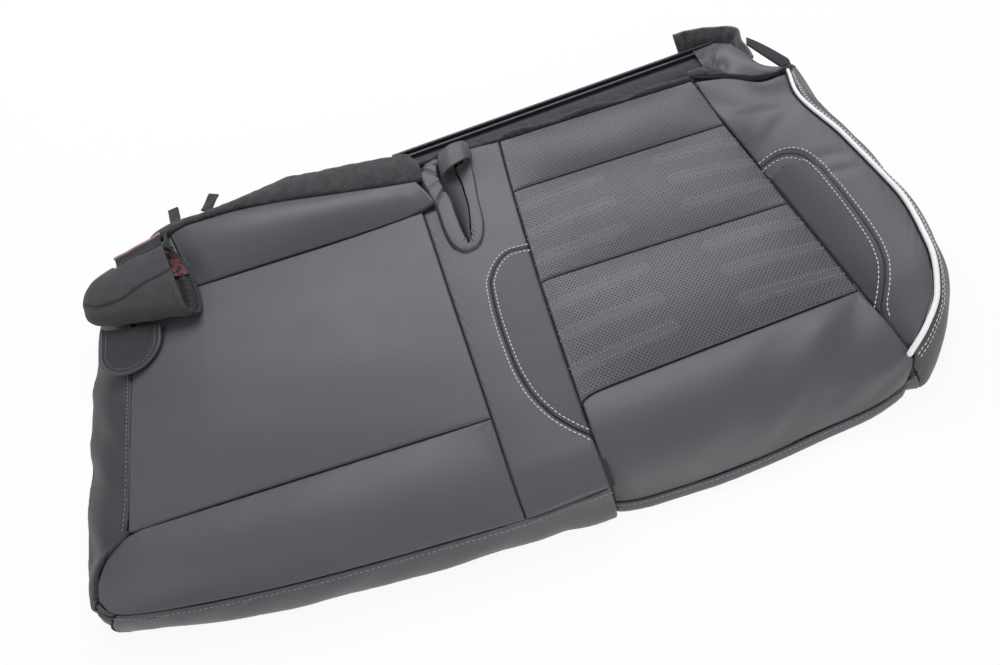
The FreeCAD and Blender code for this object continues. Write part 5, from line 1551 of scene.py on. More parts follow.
@dataclass
class OutboardPlace:
    """The outboard place: perforated bands, thigh panel, bolster with its piping, sides and skirt."""

    grid: float = 3.4
    band_crown: float = 7
    thigh_crown: float = 20
    bolster_crown: float = 9
    panel: float = 5
    wall: float = 3.5
    side: Optional[Sheet] = None
    skirt: Optional[Sheet] = None
    gusset: Optional[Sheet] = None
    bolster_skin: Optional[Sheet] = None

    def build(self) -> None:
        """Makes every piece of the outboard place."""
        self.band("outer_insert_front", self.hooked, self.front_seam, 50, 61)
        self.band("outer_insert_middle", self.front_seam, self.middle_seam, 50, 62)
        self.band("outer_insert_rear", self.middle_seam, lambda x: PLAN.rear_band + 0 * x, 56, 63)
        self.thigh_panel()
        self.bolster()
        self.piping()
        self.side_panel()
        self.front_skirt()
        self.rear_gusset()

    def hooked(self, x: Array) -> Array:
        """The thigh seam, whose left end bends forward where it meets the strip."""
        return PLAN.thigh_line(x) - 8 * np.exp(-np.maximum(0, x - 58.6) / 7)

    def front_seam(self, x: Array) -> Array:
        """The seam between the front and middle bands."""
        return PLAN.front_band - 4 * np.exp(-np.maximum(0, x - 62) / 6)

    def middle_seam(self, x: Array) -> Array:
        """The seam between the middle and rear bands."""
        return PLAN.middle_band - 3 * np.exp(-np.maximum(0, x - 68) / 6)

    def band(self, name: str, front_line: Callable, rear_line: Callable, rear_z: float, seed: int) -> None:
        """One band of the insert, crowned between its cross seams."""
        s = spaced(292, self.grid)
        ends = []
        for seam, offset, z in ((front_line, 0.2, 50), (rear_line, -0.2, rear_z)):
            x = 0 * s
            y = seam(x + 200)
            for _ in range(4):
                x = mix(PLAN.strip_right(y) + PLAN.gap, PLAN.bolster_seam(y) - PLAN.gap, s)
                y = seam(x) + offset
            ends.append(stack(x, y, z))
        long = float(ends[1][40, 1] - ends[0][40, 1])
        cloth = Sheet(bowed(ends[0], ends[1], swell(s) * self.band_crown, spaced(long, self.grid)))
        Cut(name + "_sewn", (name,), PERFORATED, self.panel, seams=TOP_SEAMS, wrinkle=0.6, spread=90,
            seed=seed).make(cloth)

    def thigh_panel(self) -> None:
        """The panel that rolls over the front edge, with soft dents where no foam fills it."""
        s = spaced(322, self.grid)
        front_x = mix(PLAN.outer_left + PLAN.gap, PLAN.bolster_seam(-267) - PLAN.gap, s)
        front = stack(front_x, PLAN.outer_front(front_x) + PLAN.gap, 15)
        x = mix(PLAN.strip_right(PLAN.outer_thigh) + PLAN.gap, PLAN.bolster_seam(-173) - PLAN.gap, s)
        rear = stack(x, self.hooked(x) - PLAN.gap, 50)
        crown = self.thigh_crown * np.maximum(0.82, 1 - 0.18 * (2 * s - 1) ** 8)
        t = spaced(135, self.grid)
        cloth = Sheet(bowed(front, rear, crown, t, 0.25))
        full = through([(0, 15), (0.03, 30), (0.07, 42), (0.12, 50), (0.2, 53.5), (0.5, 55.5), (0.8, 53),
                        (1, 50)], t)
        corner = held((s - 0.80) / 0.2)[:, None] ** 1.6
        cloth.points[..., 2] += corner * (full[None] - cloth.points[-1:, :, 2])
        cloth.points[..., 0] += corner * 3.4 * bump(t, 0.08, 0.07)[None]
        across = cloth.points[..., 0] - 0.9 * (cloth.points[..., 1] + 240)
        dents = -3.4 * bump(across, 322, 26) + 1.6 * bump(across, 282, 24) - 1.8 * bump(across, 238, 30)
        fade = held(np.minimum.reduce(cloth.edge_distances()) / 26)
        Cut("outer_thigh_panel_sewn", ("outer_thigh_panel",), LEATHERETTE, self.panel, seams=TOP_SEAMS,
            wrinkle=0.6, spread=120, seed=66).make(cloth.moved(fade * dents))

    def bolster_ends(self, y: Array) -> tuple[Array, Array, Array]:
        """The bolster's seam and its edge beside the piping at rows y, and its crown."""
        seam_y = through([(-250, -250), (108, 108), (PLAN.ridge_rear, 183)], y)
        seam = stack(PLAN.bolster_seam(seam_y) + PLAN.gap, seam_y,
                     through([(-250, 48), (-240, 49), (-184, 49.5), (-150, 50), (120, 50), (138, 56)], y))
        edge = PLAN.ridge(y)
        run = PLAN.ridge(y + 1) - PLAN.ridge(y - 1)
        edge[:, 0] -= 3.1 * np.hypot(run[:, 0], run[:, 1]) / np.abs(run[:, 1])
        crown = np.maximum(1.5, self.bolster_crown * np.minimum(1, (edge[:, 0] - seam[:, 0]) / 60))
        return seam, edge, crown * (1 - 0.75 * bump(y, PLAN.ridge_rear, 32))

    def bolster(self) -> None:
        """The raised bolster, which dips along its patch's seam, and the patch."""
        y = mix(-250, PLAN.ridge_rear, spaced(388, 2.4))
        seam, edge, crown = self.bolster_ends(y)
        cloth = Sheet(bowed(seam, edge, crown, spaced(92, 2.0)))
        drawn = bump(cloth.points[..., 0], 410, 24) * bump(cloth.edge_distances()[1], 0, 30)
        cloth = Sheet(cloth.points + drawn[..., None] * np.array([0, -8, -6]))
        outline = BOLSTER_PATCH.outline(PLAN.bolster_seam)
        dip, under = patch_dip(cloth.points, outline)
        x, deep = cloth.points[..., 0], cloth.points[..., 1]
        dents = -3.2 * bump(deep + 0.8 * (x - 390), 96, 15) - 2.0 * bump(deep - 0.5 * (x - 400), 60, 12)
        dents -= 1.4 * bump(deep + 0.3 * (x - 430), -20, 9) + 1.1 * bump(deep + 0.3 * (x - 430), -44, 8)
        fade = held(np.minimum.reduce(cloth.edge_distances()) / 20)
        lowered = Sheet(cloth.points + (np.where(under, 0, fade * dents) - dip)[..., None] * UP)
        self.bolster_skin = Cut("outer_bolster_panel_sewn", ("outer_bolster_panel",), LEATHERETTE, self.panel,
                                seams=TOP_SEAMS, wrinkle=0.5, spread=70, seed=71).make(
                                    lowered, cloth.points - UP * (self.panel + 0.8))
        y = BOLSTER_PATCH.rows()
        seam, edge, crown = self.bolster_ends(y)
        share = spaced(42, 2.0)
        x = seam[:, 0, None] + (BOLSTER_PATCH.depth(y) - 0.5)[:, None] * share[None]
        u = (x - seam[:, 0, None]) / (edge - seam)[:, None, 0]
        points = seam[:, None] + (edge - seam)[:, None] * u[..., None]
        points[..., 2] += 4 * crown[:, None] * u * (1 - u)
        # The bolster patch takes the darker leatherette as painted shade for its slope that faces away from
        # the light.
        Cut("outer_bolster_patch_sewn", ("outer_bolster_patch",), SHADED_LEATHERETTE, 2.4,
            seams=Seams((2.6, 2.6, 3, 2.6), (2.6, 2.6, 3.4, 2.6)), wrinkle=0.4, seed=73,
            backing=TWILL).make(Sheet(points))

    def piping(self) -> None:
        """White piping: a filler cord in a strip of vinyl, and the strip's edge let into the seam."""
        share = shares(170)
        line = PLAN.ridge(mix(-258.5, PLAN.ridge_rear, share)) + np.array([0, 0, 1.2])
        cord("bolster_piping_sewn", line, through([(0, 2.7), (0.6, 2.5), (1, 2.0)], share), PIPING, 16,
             nodes=("bolster_piping",))
        core = PLAN.ridge(mix(-256, PLAN.ridge_rear - 1, share)) - UP * 3.4
        cord("bolster_seam_cord", core, 2.8, TWILL, 8)

    def side_panel(self) -> None:
        """The outer side panel, from the piping down to the floor."""
        y = np.array([-256, -248, -238, -227, -216, -203, -190, -176, -162, -143, -124, -85, -40, 3, 40, 75,
                      108, 138], float)
        tops = PLAN.beside_ridge(y, 3.1, 1)
        feet = PLAN.side_foot(tops)
        corner = tops[0] + np.array([0.2, -6.5, -0.35 * tops[0, 2]])
        foot = np.array([corner[0] + 12.5, corner[1] - 11.5, 0])
        cloth = wall_sheet(np.concatenate([[corner], tops]), np.concatenate([[foot], feet]), [2] + [5] * 18,
                           Side.RIGHT, 3.2)
        runs, down = cloth.edge_distances()[0], cloth.edge_distances()[2]
        soft = held((down - 16) / 24) * (1.6 * waves(runs + 0.6 * down, 110, 81))
        ridge = 0.9 * (bump(down, 9, 5) - bump(down, 9, 1.2))
        self.side = Cut("outer_side_panel_sewn", ("outer_side_panel",), SHADED_LEATHERETTE, self.wall,
                        seams=WALL_SEAMS, wrinkle=0.6, spread=70, seed=82).make(cloth.moved(soft + ridge))

    def front_skirt(self) -> None:
        """The narrow skirt below the outboard front seam."""
        places = (0, 0.04, 0.12, 0.3, 0.5, 0.7, 0.85, 0.94, 0.98, 1)
        x = mix(PLAN.outer_left + PLAN.gap, PLAN.bolster_seam(-267) - PLAN.gap, np.array(places))
        tops = stack(x, PLAN.outer_front(x) - PLAN.gap, 15)
        feet = tops + np.array([0, -4.95, -15])
        top = PLAN.beside_ridge(np.array([-256.0]), 3.3, 1)[0] + np.array([0.2, -6.5, 0])
        top[2] *= 0.65
        beside = np.array([top[0] + 12.1, top[1] - 11.5, 0])
        last = beside + (top - np.array([top[0] + 12.5, top[1] - 11.5, 0])) * (22 / top[2])
        tops, feet = np.concatenate([tops, [last]]), np.concatenate([feet, [beside]])
        cloth = wall_sheet(tops, feet, 2, Side.FRONT, 3.0)
        self.skirt = Cut("outer_front_skirt_sewn", ("outer_front_skirt",), LEATHERETTE, 3.2, seams=WALL_SEAMS,
                         wrinkle=0.4, spread=60, pucker=0.3, seed=84).make(cloth)

    def rear_gusset(self) -> None:
        """The shiny gusset behind the bolster, with the felt strip folded over its seam."""
        seam_x = float(PLAN.bolster_seam(PLAN.rear_band))
        corner = PLAN.beside_ridge(np.array([PLAN.ridge_rear]), 3.3, 1)[0]
        tops = np.array([(seam_x + 1.5, 192, 54), (seam_x + 32, 174.2, 57.5), (seam_x + 66, 153.4, 57.4),
                         (seam_x + 85, 144.5, 60), corner + np.array([-0.4, 0.4, 0])])
        backs = [(343, 198.5, 52), (372, 204, 55), (385, 221, 59), (399, 226, 60.5), (413, 207, 61),
                 (421, 176, 62), corner + np.array([3, 11, -8])]
        feet = [(seam_x + 1.5, 221, 0), (seam_x + 46, 227, 0), (seam_x + 66, 232, 0), (seam_x + 88, 235, 0),
                (seam_x + 112, 230, 0), PLAN.side_foot(corner) + np.array([-0.4, 0.4, 0])]
        at = spaced(160, 3, edges=False)
        seam, back, foot = (lofted(points, at) for points in (tops, backs, feet))
        share = shares(22)
        over = arcs(seam, (seam + back) / 2 + 4 * UP, back, share)
        down = arcs(back, (back + foot) / 2 - REARWARD, foot, share)
        cloth = Sheet(np.concatenate([over, down[:, 1:]], 1), Side.REAR)
        runs, deep = cloth.edge_distances()[0], cloth.edge_distances()[2]
        soft = held(deep / 12) * 1.3 * waves(runs + 0.5 * deep, 48, 91)
        soft -= 8 * bump(cloth.points[..., 0], 381, 9) * bump(cloth.points[..., 1], 194, 15) * held(deep / 8)
        self.gusset = Cut("rear_gusset_sewn", ("rear_gusset",), LEATHERETTE, self.wall, seams=WALL_SEAMS,
                          wrinkle=0.9, spread=44, seed=92).make(cloth.moved(soft))
        round_corner = corner + np.array([(4, 5, 1), (8.5, 9.5, -5)])
        line = lofted(np.concatenate([tops + np.array([0, 2.6, 3.4]), round_corner]),
                      spaced(134, 2.5, edges=False))
        line[:, 2] += 0.8 * waves(along(line), 24, 93)
        cord("bolster_rear_hem_sewn", line, 2.8 + 0.5 * waves(along(line), 17, 94), FELT, 12, 0.9,
             ("bolster_rear_hem",))
        fold = [(seam_x + 1.6, 190, 52), (seam_x + 1.8, 197, 48), (seam_x + 1.6, 216.5, 4.4)]
        cord("gusset_hem_fold", lofted(fold, spaced(110, 2.5, edges=False)), 4, SHADED_LEATHERETTE, 12, 0.9)
        seam_backing("bolster_rear_backing", self.bolster_skin.points[-1], self.gusset.points[:, 0],
                     (0, -3, -1))
        seam_backing("gusset_side_backing", self.gusset.points[-1], self.side.points[-1], (-2.6, -2.6, 0))
        at, share = spaced(46, 2.2, edges=False), spaced(16, 1.8, edges=False)[None, :, None]
        near = lofted([(336, 190.5, 59.5), (357, 184, 61), (373, 176.5, 60)], at)
        rear = lofted([(338.5, 202, 58), (362, 201, 59), (381, 194, 55)], at)
        points = mix(near[:, None], rear[:, None], share)
        points[..., 2] += 2.6 * np.sin(np.pi * share[..., 0]) + 1.2 * folds(points, 14, 95)
        single_layer("gusset_hem_felt", points, Sheet(points).moved(-2.6).points, FELT)


@dataclass
class RearHems:
    """The felt behind both places, the flap that carries the rail, and the corner's flap and tongue."""

    felt: float = 3

    def build(self) -> None:
        """Makes every felt piece."""
        self.centre_hem()
        self.outer_hem()
        self.flap()
        self.corner_flap()
        self.corner_folds()
        self.tongue()
        self.tabs()

    def arch(self, seam: Array, back: Array, foot: Array, rise: Array | float,
             bulge: Array | float = 0.6) -> Array:
        """A hem that arches back from its seam and falls, with some bulge, to its foot."""
        bulge = np.broadcast_to(np.asarray(bulge, float), len(seam))[:, None]
        rise = np.broadcast_to(np.asarray(rise, float), len(seam))[:, None]
        share = shares(18)
        first = arcs(seam, (seam + back) / 2 + rise * UP, back, share)
        second = arcs(back, (back + foot) / 2 + bulge * rise * REARWARD, foot, share)
        return np.concatenate([first, second[:, 1:]], 1)

    def centre_hem(self) -> None:
        """The hem behind the rear roll, thickest and most ruffled in its middle."""
        x = mix(PLAN.left + 0.4, PLAN.left + 398, shares(214))
        share = PLAN.hem_share(x) + 0.42 * bump(PLAN.share(x), 0.115, 0.06)
        seam = stack(x, PLAN.roll_rear(x) + PLAN.gap, PLAN.hem_height(x))
        back = seam + stack(0 * x, HEM_DEPTH * share, -2)
        by_flap = held((x + 90) / 24)
        foot = stack(x, back[:, 1] + 12 - 11.5 * by_flap, 0)
        points = self.arch(seam, back, foot, 5 * np.minimum(1, share), 0.6 - 0.5 * by_flap)
        cloth = Sheet(points)
        down = cloth.edge_distances()[2]
        runs = points[..., 0]
        free = held(down / 9)
        ruffle = free * (1.5 * waves(runs + 0.8 * down, 110, 101) + 0.5 * waves(runs - 0.5 * down, 34, 102))
        ruffle += free * 0.3 * folds(points, 13, 103)
        cloth = cloth.moved(ruffle * (0.3 + 0.7 * share[:, None] / 2))
        Cut("centre_rear_hem_felt", ("centre_rear_hem",), FELT, self.felt, Hold.FOLDED, LOOSE,
            wrinkle=0.3, spread=20, pucker=0.5, seed=104, backing=FELT).make(cloth)

    def outer_hem(self) -> None:
        """The gathered hem behind the strip and the outboard insert, knotted up in two places."""
        t = shares(200)
        x = mix(float(PLAN.strip_left(PLAN.rear_band)) + 8, float(PLAN.bolster_seam(PLAN.rear_band)), t)
        rise = through(list(zip(shares(9), (3, 6, 2, 6.5, 2.5, 6.5, 2, 5.5, 4))), t)
        seam = stack(x, 187.2, 56)
        back = seam + np.array([0, 9.5, -3])
        foot = stack(x, 219.2, 0)
        points = self.arch(seam, back, foot, rise)
        cloth = Sheet(points)
        down = cloth.edge_distances()[2]
        free = held(down / 8) * held(cloth.edge_distances()[3] / 28)
        ruffle = free * (1.6 * waves(x[:, None] + 0.7 * down, 38, 111) + 1.1 * folds(points, 15, 112))
        Cut("outer_rear_hem_felt", ("outer_rear_hem",), FELT, self.felt, Hold.GATHERED, LOOSE,
            wrinkle=0.3, spread=20, pucker=0.5, seed=113, backing=FELT).make(cloth.moved(ruffle))

    def flap(self) -> None:
        """The felt flap that lies behind the hems and carries the retainer rail."""
        x = mix(-63, 387, spaced(450, 3))
        front_y = 222 + through([(307, 0), (347, 23)], x)
        foot = PLAN.roll_rear(x) + 0.4 + HEM_DEPTH * PLAN.hem_share(x) + 12.4
        front_y = np.where(x > float(PLAN.strip_left(PLAN.rear_band)), front_y, np.maximum(front_y, foot))
        wave = through([(-63 + 45 * k, 4 if k % 2 else 1.4) for k in range(11)], x)
        front = stack(x, front_y, 2.5)
        rear = stack(x, 255 + math.tan(math.radians(3)) * (x + 63), 2.5)
        points = bowed(front, rear, wave, spaced(34, 2.5, edges=False))
        cloth = Sheet(points)
        free = held(cloth.edge_distances()[3] / 6)
        cloth = cloth.moved(0.4 + 0.6 * free * (1 + folds(points, 24, 121)))
        Cut("rear_flap_felt", ("rear_flap",), FLAP_FELT, 2.4, Hold.LAID, FREE,
            wrinkle=0.1, spread=20, pucker=0.2, seed=122, body="rear_flap", backing=FELT).make(cloth)
        x = mix(298, 436, spaced(138, 3))
        behind = 247 + through([(307, -12), (347, 0), (372, 0), (384, 20), (386, 21), (389, 38)], x)
        under = bowed(stack(x, 212, 1.2), stack(x, behind, 1.2), 0 * x, spaced(42, 3, edges=False))
        Cut("rear_corner_felt", (), FELT, 1, Hold.LAID, FREE,
            wrinkle=0.02, spread=20, pucker=0.02, seed=123, backing=FELT).make(Sheet(under))

    def corner_flap(self) -> None:
        """The felt flap behind the rail's end, curled round towards the gusset."""
        base = 299
        left = float(PLAN.ridge(PLAN.ridge_rear)[0]) - 72
        path = [(left, base + 2), (left + 34, base + 3), (left + 60, base - 2), (left + 72, base - 16),
                (left + 70, base - 34), (left + 70, base - 67.4)]
        away = unit(np.array([(-0.1, 1, 0), (0, 1, 0), (0.45, 0.9, 0), (1, 0.25, 0), (1, -0.05, 0),
                              (1, 0, 0)]))
        feet = np.array([(x, y, 1) for x, y in path], float)
        heights = 34 * np.array([1.0, 0.86, 0.74, 0.8, 0.7, 0.6])
        tops = feet + away * 5 + heights[:, None] * UP - UP
        tops[0] -= np.array([9, 0, 0])
        at = spaced(150, 2.6, edges=False)
        low, high = lofted(feet + away * self.felt, at), lofted(tops + away * self.felt, at)
        share = shares(20)
        points = ruled(low, high, share)
        out = lofted(away, at)
        sway = 1.4 * waves(along(low), 44, 131)[:, None] * share[None] ** 2
        points += out[:, None] * sway[..., None]
        single_layer("corner_flap_felt", points, points - out[:, None] * self.felt, WORN_FELT,
                     ("corner_flap",), "corner_flap", Side.OWN)

    def corner_folds(self) -> None:
        """Felt folded in at the two rear corners: beside the gusset, and round the roll's left end."""
        share, at = shares(30), shares(48)
        for name, finish, near, far, rise, body in (
                ("corner_flap_fold", WORN_FELT, [(386.6, 243, 5), (412, 245, 4.4), (441.5, 240, 4.4)],
                 [(386.6, 299.5, 5), (414, 300, 6), (440.5, 286, 6)], 5, "corner_flap"),
                ("roll_end_felt", FELT, [(-371, 182, 53), (-377, 196, 56), (-379, 207, 57), (-374, 219, 53)],
                 [(-384, 186, 50), (-386, 197, 51), (-387, 208, 48), (-386, 221, 41)], 3, "root")):
            low, high = lofted(near, at), lofted(far, at)
            points = ruled(low, high, share)
            points[..., 2] += rise * np.sin(np.pi * share)[None] ** 0.7 + 0.9 * folds(points, 22, 136)
            single_layer(name, points, Sheet(points).moved(-2.4).points, finish, (), body)

    def tongue(self) -> None:
        """The stiff tongue that stands out behind the bolster's rear end."""
        at = spaced(96, 2.2, edges=False)
        corner = np.array([float(PLAN.ridge(PLAN.ridge_rear)[0]) + 6, 161.5, 58.5])
        near = lofted([(-1, -2, 0), (-10, 24.5, 0), (-21, 57.5, 0)], at) + corner
        far = lofted([(11, -2.5, 0), (12.5, 6, 0), (8, 20, 0), (-6, 52, 0), (-16, 69, 0)], at) + corner
        share = shares(14)
        points = ruled(near, far, share)
        points[..., 2] += 0.5 * np.sin(np.pi * share)[None]
        single_layer("corner_tongue_sewn", points, points - UP * 2.6, TWILL, ("corner_tongue",),
                     "corner_tongue")

    def tabs(self) -> None:
        """Two felt tabs that stand out behind the centre hem's left end."""
        for name, x, turn, back in (("hem_tab_left", -376, 8, 0.2), ("hem_tab_right", -334, -24, 8.4)):
            y = float(PLAN.roll_rear(x)) + 0.2 + HEM_DEPTH * float(PLAN.hem_share(x)) + back
            angle = math.radians(turn)
            run = np.array([-math.sin(angle), math.cos(angle), 0])
            side = np.array([math.cos(angle), math.sin(angle), 0])
            far, across = np.linspace(1, 31, 22), np.linspace(1, 15, 12)
            points = (np.array([x, y, 52.2]) + far[:, None, None] * run + across[None, :, None] * side)
            points[..., 2] += 0.7 * folds(points, 18, 141)
            single_layer(name + "_felt", points, points - UP * 2.2, FELT, (name,), name)


@dataclass
class BuckleSleeve:
    """The twill sleeve for the buckle, its lining, the strip behind it and the flap before it."""

    left_x: float = -486
    length: float = 138
    depth: float = 116
    height: float = 38
    centre_y: float = 117
    base_z: float = 47
    cut_back: float = 10.5

    def build(self) -> None:
        """Makes the sleeve and what is sewn to it."""
        self.sleeve()
        self.lining()
        self.strip()
        self.flap()

    def point(self, share: Array, across: Array, up: Array, shrink: Array | float = 0) -> Array:
        """Points of the sleeve: a share of its length, of its half depth and of its height."""
        deep = through([(0, 0.24), (0.04, 0.40), (0.14, 0.58), (0.5, 0.80), (1, 1)], share)
        tall = through([(0, 0.35), (0.04, 0.55), (0.14, 0.72), (0.5, 0.92), (1, 1)], share)
        aside = across * (deep * self.depth / 2 - shrink)
        high = tall * self.height - 2 * shrink
        mouth = share ** 4 * (self.cut_back * up + 6 * across ** 2)
        return stack(self.left_x + share * self.length - 0.26 * share * aside - mouth,
                     self.centre_y + 6 * (1 - share) + aside, self.base_z + shrink + up * high)

    def ring(self) -> Array:
        """The sleeve's section, as shares of its half depth and height, once round."""
        corners = [(0.72, 0, 0), (-0.72, 0, 0), (-0.70, 0.86, 0), (0.70, 0.86, 0)]
        over = [(-1, 0.42, 0), (0, 1.0, 0), (1, 0.42, 0)]
        parts = [np.linspace(corners[0], corners[1], 40)[:-1]]
        for k, count in enumerate((24, 100, 30)):
            a, b = corners[k + 1], corners[(k + 2) % 4]
            parts.append(arcs(np.array([a], float), np.array([over[k]], float), np.array([b], float),
                              np.linspace(0, 1, count))[0, :-1])
        return np.concatenate(parts)[:, :2]

    def sleeve(self) -> None:
        """The sleeve: its upper layer is folded over the lower one along a bowed crease."""
        ring = self.ring()
        share = np.concatenate([[0, 0.012, 0.03], np.linspace(0.05, 0.985, 74), [0.993, 1]])
        grid = self.point(share[:, None], ring[None, :, 0], ring[None, :, 1])
        inner = self.point(share[:, None], ring[None, :, 0], ring[None, :, 1], 2.4)
        out = unit(grid - inner)
        crest = through([(0, -0.15), (0.08, -0.26), (0.22, -0.50), (0.41, -0.47), (0.65, -0.22),
                         (0.92, -0.05), (1, 0)], share)[:, None]
        beside = ring[None, :, 0] - crest
        top = (ring[None, :, 1] > 0.5).astype(float)
        fold = top * (2.0 / (1 + np.exp(-beside / 0.014)) - 1.3 * np.exp(-((beside + 0.02) / 0.025) ** 2))
        soft = 0.9 * folds(grid, 46, 151) + 0.35 * folds(grid, 17, 152)
        hem = -0.8 * np.exp(-((share[:, None] - 0.93) / 0.006) ** 2)
        edge = held((1 - share[:, None]) / 0.05)
        grid = grid + out * (fold + soft * edge + hem - 0.9 * (1 - edge))[..., None]
        mesh = Mesh()
        start = mesh.add_grid(grid, False, 0, True)
        back = mesh.add_grid(inner[6:], True, 1, True)
        count = len(ring)
        ends = start + (len(share) - 1) * count
        tail = back + (len(share) - 7) * count
        rim = [(ends + k, ends + (k + 1) % count, tail + (k + 1) % count, tail + k) for k in range(count)]
        mesh.add_faces(np.array(rim), 0)
        for first, turned in ((start, 1), (back, -1)):
            pairs = [(first + k, first + k + 1, first + count - 2 - k, first + count - 1 - k)[::turned]
                     for k in range(count // 2 - 1)]
            mesh.add_faces(np.array(pairs), 0)
        piece = mesh.build("buckle_sleeve_sewn", (PALE_TWILL, TWILL))
        clean(piece)
        hand_over(piece, ("buckle_sleeve",), "buckle_sleeve")

    def lining(self) -> None:
        """The lining inside the mouth: quilted by its folds, and crumpled pink at the top."""
        ring = self.ring()
        share = np.linspace(0.60, 0.975, 60)
        deep = held((0.99 - share) / 0.05)[:, None]
        base = self.point(share[:, None], ring[None, :, 0], ring[None, :, 1], 3.6)
        further = self.point(share[:, None], ring[None, :, 0], ring[None, :, 1], 7.6)
        inward = unit(further - base)
        run = along(base[-1])[None]
        rows = np.pi * share[:, None] * self.length / 11
        squares = np.abs(np.sin(np.pi * run / 9.4)) * np.abs(np.sin(rows))
        quilt = 2.6 * squares ** 0.4 + 1.0 * (folds(base, 30, 161) + 0.6)
        grid = base + inward * (deep * np.clip(quilt, 0, 3.6))[..., None]
        # The lining's very dark colour is partly its own and partly painted shade inside the mouth.
        piece = shell("buckle_sleeve_lining_sewn", grid, base - inward * 0.4, (SHADED_SLEEVE_LINING, TWILL),
                      Side.OWN, wrap=True)
        clean(piece)
        hand_over(piece, ("buckle_sleeve_lining",), "buckle_sleeve")
        self.pink_fold()

    def pink_fold(self) -> None:
        """The lining's scrim, crumpled out at the rear of the mouth and coloured darker as painted shade, and
        the mouth's bound edge.
        """
        ring = self.ring()
        rear = np.concatenate([ring[-30:], ring[:13]])
        share = np.linspace(0.85, 0.995, 36)
        base = self.point(share[:, None], rear[None, :, 0], rear[None, :, 1], 4.4)
        inward = unit(self.point(share[:, None], rear[None, :, 0], rear[None, :, 1], 8.4) - base)
        crumple = 2.6 + 2.6 * folds(base, 13, 171) + 1.5 * folds(base, 6, 172)
        points = base + inward * np.clip(crumple, 0.3, 8)[..., None]
        single_layer("buckle_sleeve_lining_scrim", points, points - inward * 0.9, SHADED_SCRIM,
                     (), "buckle_sleeve", Side.OWN)
        low = np.concatenate([ring[-22:], ring[:52]])
        edge = self.point(np.full(len(low), 0.995), low[:, 0], low[:, 1], 1.2)
        cord("buckle_sleeve_binding", evenly(edge, 2), 2.7, TWILL, body="buckle_sleeve")
        row = Marks()
        front = ring[52:70]
        spots = self.point(np.full(len(front), 0.925), front[:, 0], front[:, 1], -1.0)
        row.add(spots, unit(spots - self.point(np.full(len(front), 0.925), front[:, 0], front[:, 1], 3)))
        sew(DARK_STITCHES, "buckle_sleeve_stitches", row, "twill", "buckle_sleeve", pitch=5.2, length=3.4,
            width=1.1)

    def strip(self) -> None:
        """The seam allowance behind the sleeve: black strip, grey stitches, pale pink edge."""
        share = mix(0.36, 0.92, spaced(76, 2, edges=False))
        start = self.point(share, 1 + 0 * share, 0.42 + 0 * share) + np.array([0, -4.5, 1.25])
        end = start + np.array([-4, 0, 1.0]) + mix(24, 31, (share - 0.36) / 0.56)[:, None] * REARWARD
        across = spaced(30, 1.6, edges=False)
        points = ruled(start, end, across)
        points[..., 2] += 0.9 * folds(points, 30, 181) * held(across * 4)[None]
        single_layer("sleeve_hem_strip_sewn", points + UP * 1.25, points - UP * 1.2, TWILL,
                     ("sleeve_hem_strip",), "buckle_sleeve")
        cord("sleeve_hem_strip_edge", points[:, -1] + np.array([0, 0.6, 0.4]), 2.3, LINING, 12, 0.85, (),
             "buckle_sleeve")
        share = np.linspace(0.08, 0.33, 24)
        turned = self.point(share, 1 + 0 * share, 0.62 + 0 * share) + np.array([0, 1.4, 0.6])
        cord("sleeve_lining_edge", turned, 1.9, LINING, 10, body="buckle_sleeve")
        row = Marks()
        row.add(points[:, len(across) // 2] + np.array([0, 0, 1.5]), np.tile([0, 0, 1.0], (len(points), 1)))
        sew(GREY_STITCHES, "sleeve_strip_stitches", row, "twill", "buckle_sleeve", pitch=5.5, length=3.4,
            width=0.9)

    def flap(self) -> None:
        """The rounded flap with its raised binding and a row of grey stitches."""
        radius, base = 37.4, 52.6
        centre = np.array([-429.0, 47.2])
        left_rear, right_rear = np.array([-466.4, 84.0]), np.array([-391.6, 66.0])
        angle = np.linspace(math.pi, 2 * math.pi, 60)
        round_end = centre + radius * np.stack([np.cos(angle), np.sin(angle)], -1)
        outline = np.concatenate([[left_rear], round_end, [right_rear]])
        line = evenly(outline, 1.6, smooth=False)
        t = shares(70)
        half = lofted(line[::4], t)
        rear = left_rear + (right_rear - left_rear) * (0.5 - 0.5 * np.cos(np.pi * t))[:, None]
        share = spaced(72, 2)
        points = np.concatenate([ruled(half, rear, share), np.full((len(t), len(share), 1), base)], -1)
        middle = held(nearest(points, line) / 14)
        crease = -1.6 * np.exp(-((points[..., 0] + 405 - 0.25 * (points[..., 1] - 50)) / 2.2) ** 2) * middle
        points[..., 2] += 1.2 * middle * folds(points, 40, 191) + crease - 0.5 * middle
        piece = shell("buckle_flap_sewn", points, points - UP * 3.2, (TWILL,), Side.UP)
        clean(piece)
        hand_over(piece, ("buckle_flap",), "buckle_flap")
        rim = np.concatenate([line, np.full((len(line), 1), base - 0.9)], -1)
        binding = tube("buckle_flap_binding", evenly(rim, 2), 2.3, SHADED_LEATHERETTE, 12, 0.9)
        hand_over(binding, (), "buckle_flap")
        inset = centre + (radius - 6) * np.stack([np.cos(angle), np.sin(angle)], -1)
        inset = np.concatenate([[left_rear + np.array([6, 0])], inset, [right_rear + np.array([-6, 0])]])
        ground = Ground("buckle_flap_sewn")
        row = Marks()
        row.add(*ground.drop(evenly(inset, 1.5, smooth=False), 0.25))
        sew(GREY_STITCHES, "buckle_flap_stitches", row, "twill", "buckle_flap", pitch=4.2, length=2.4,
            width=0.8)


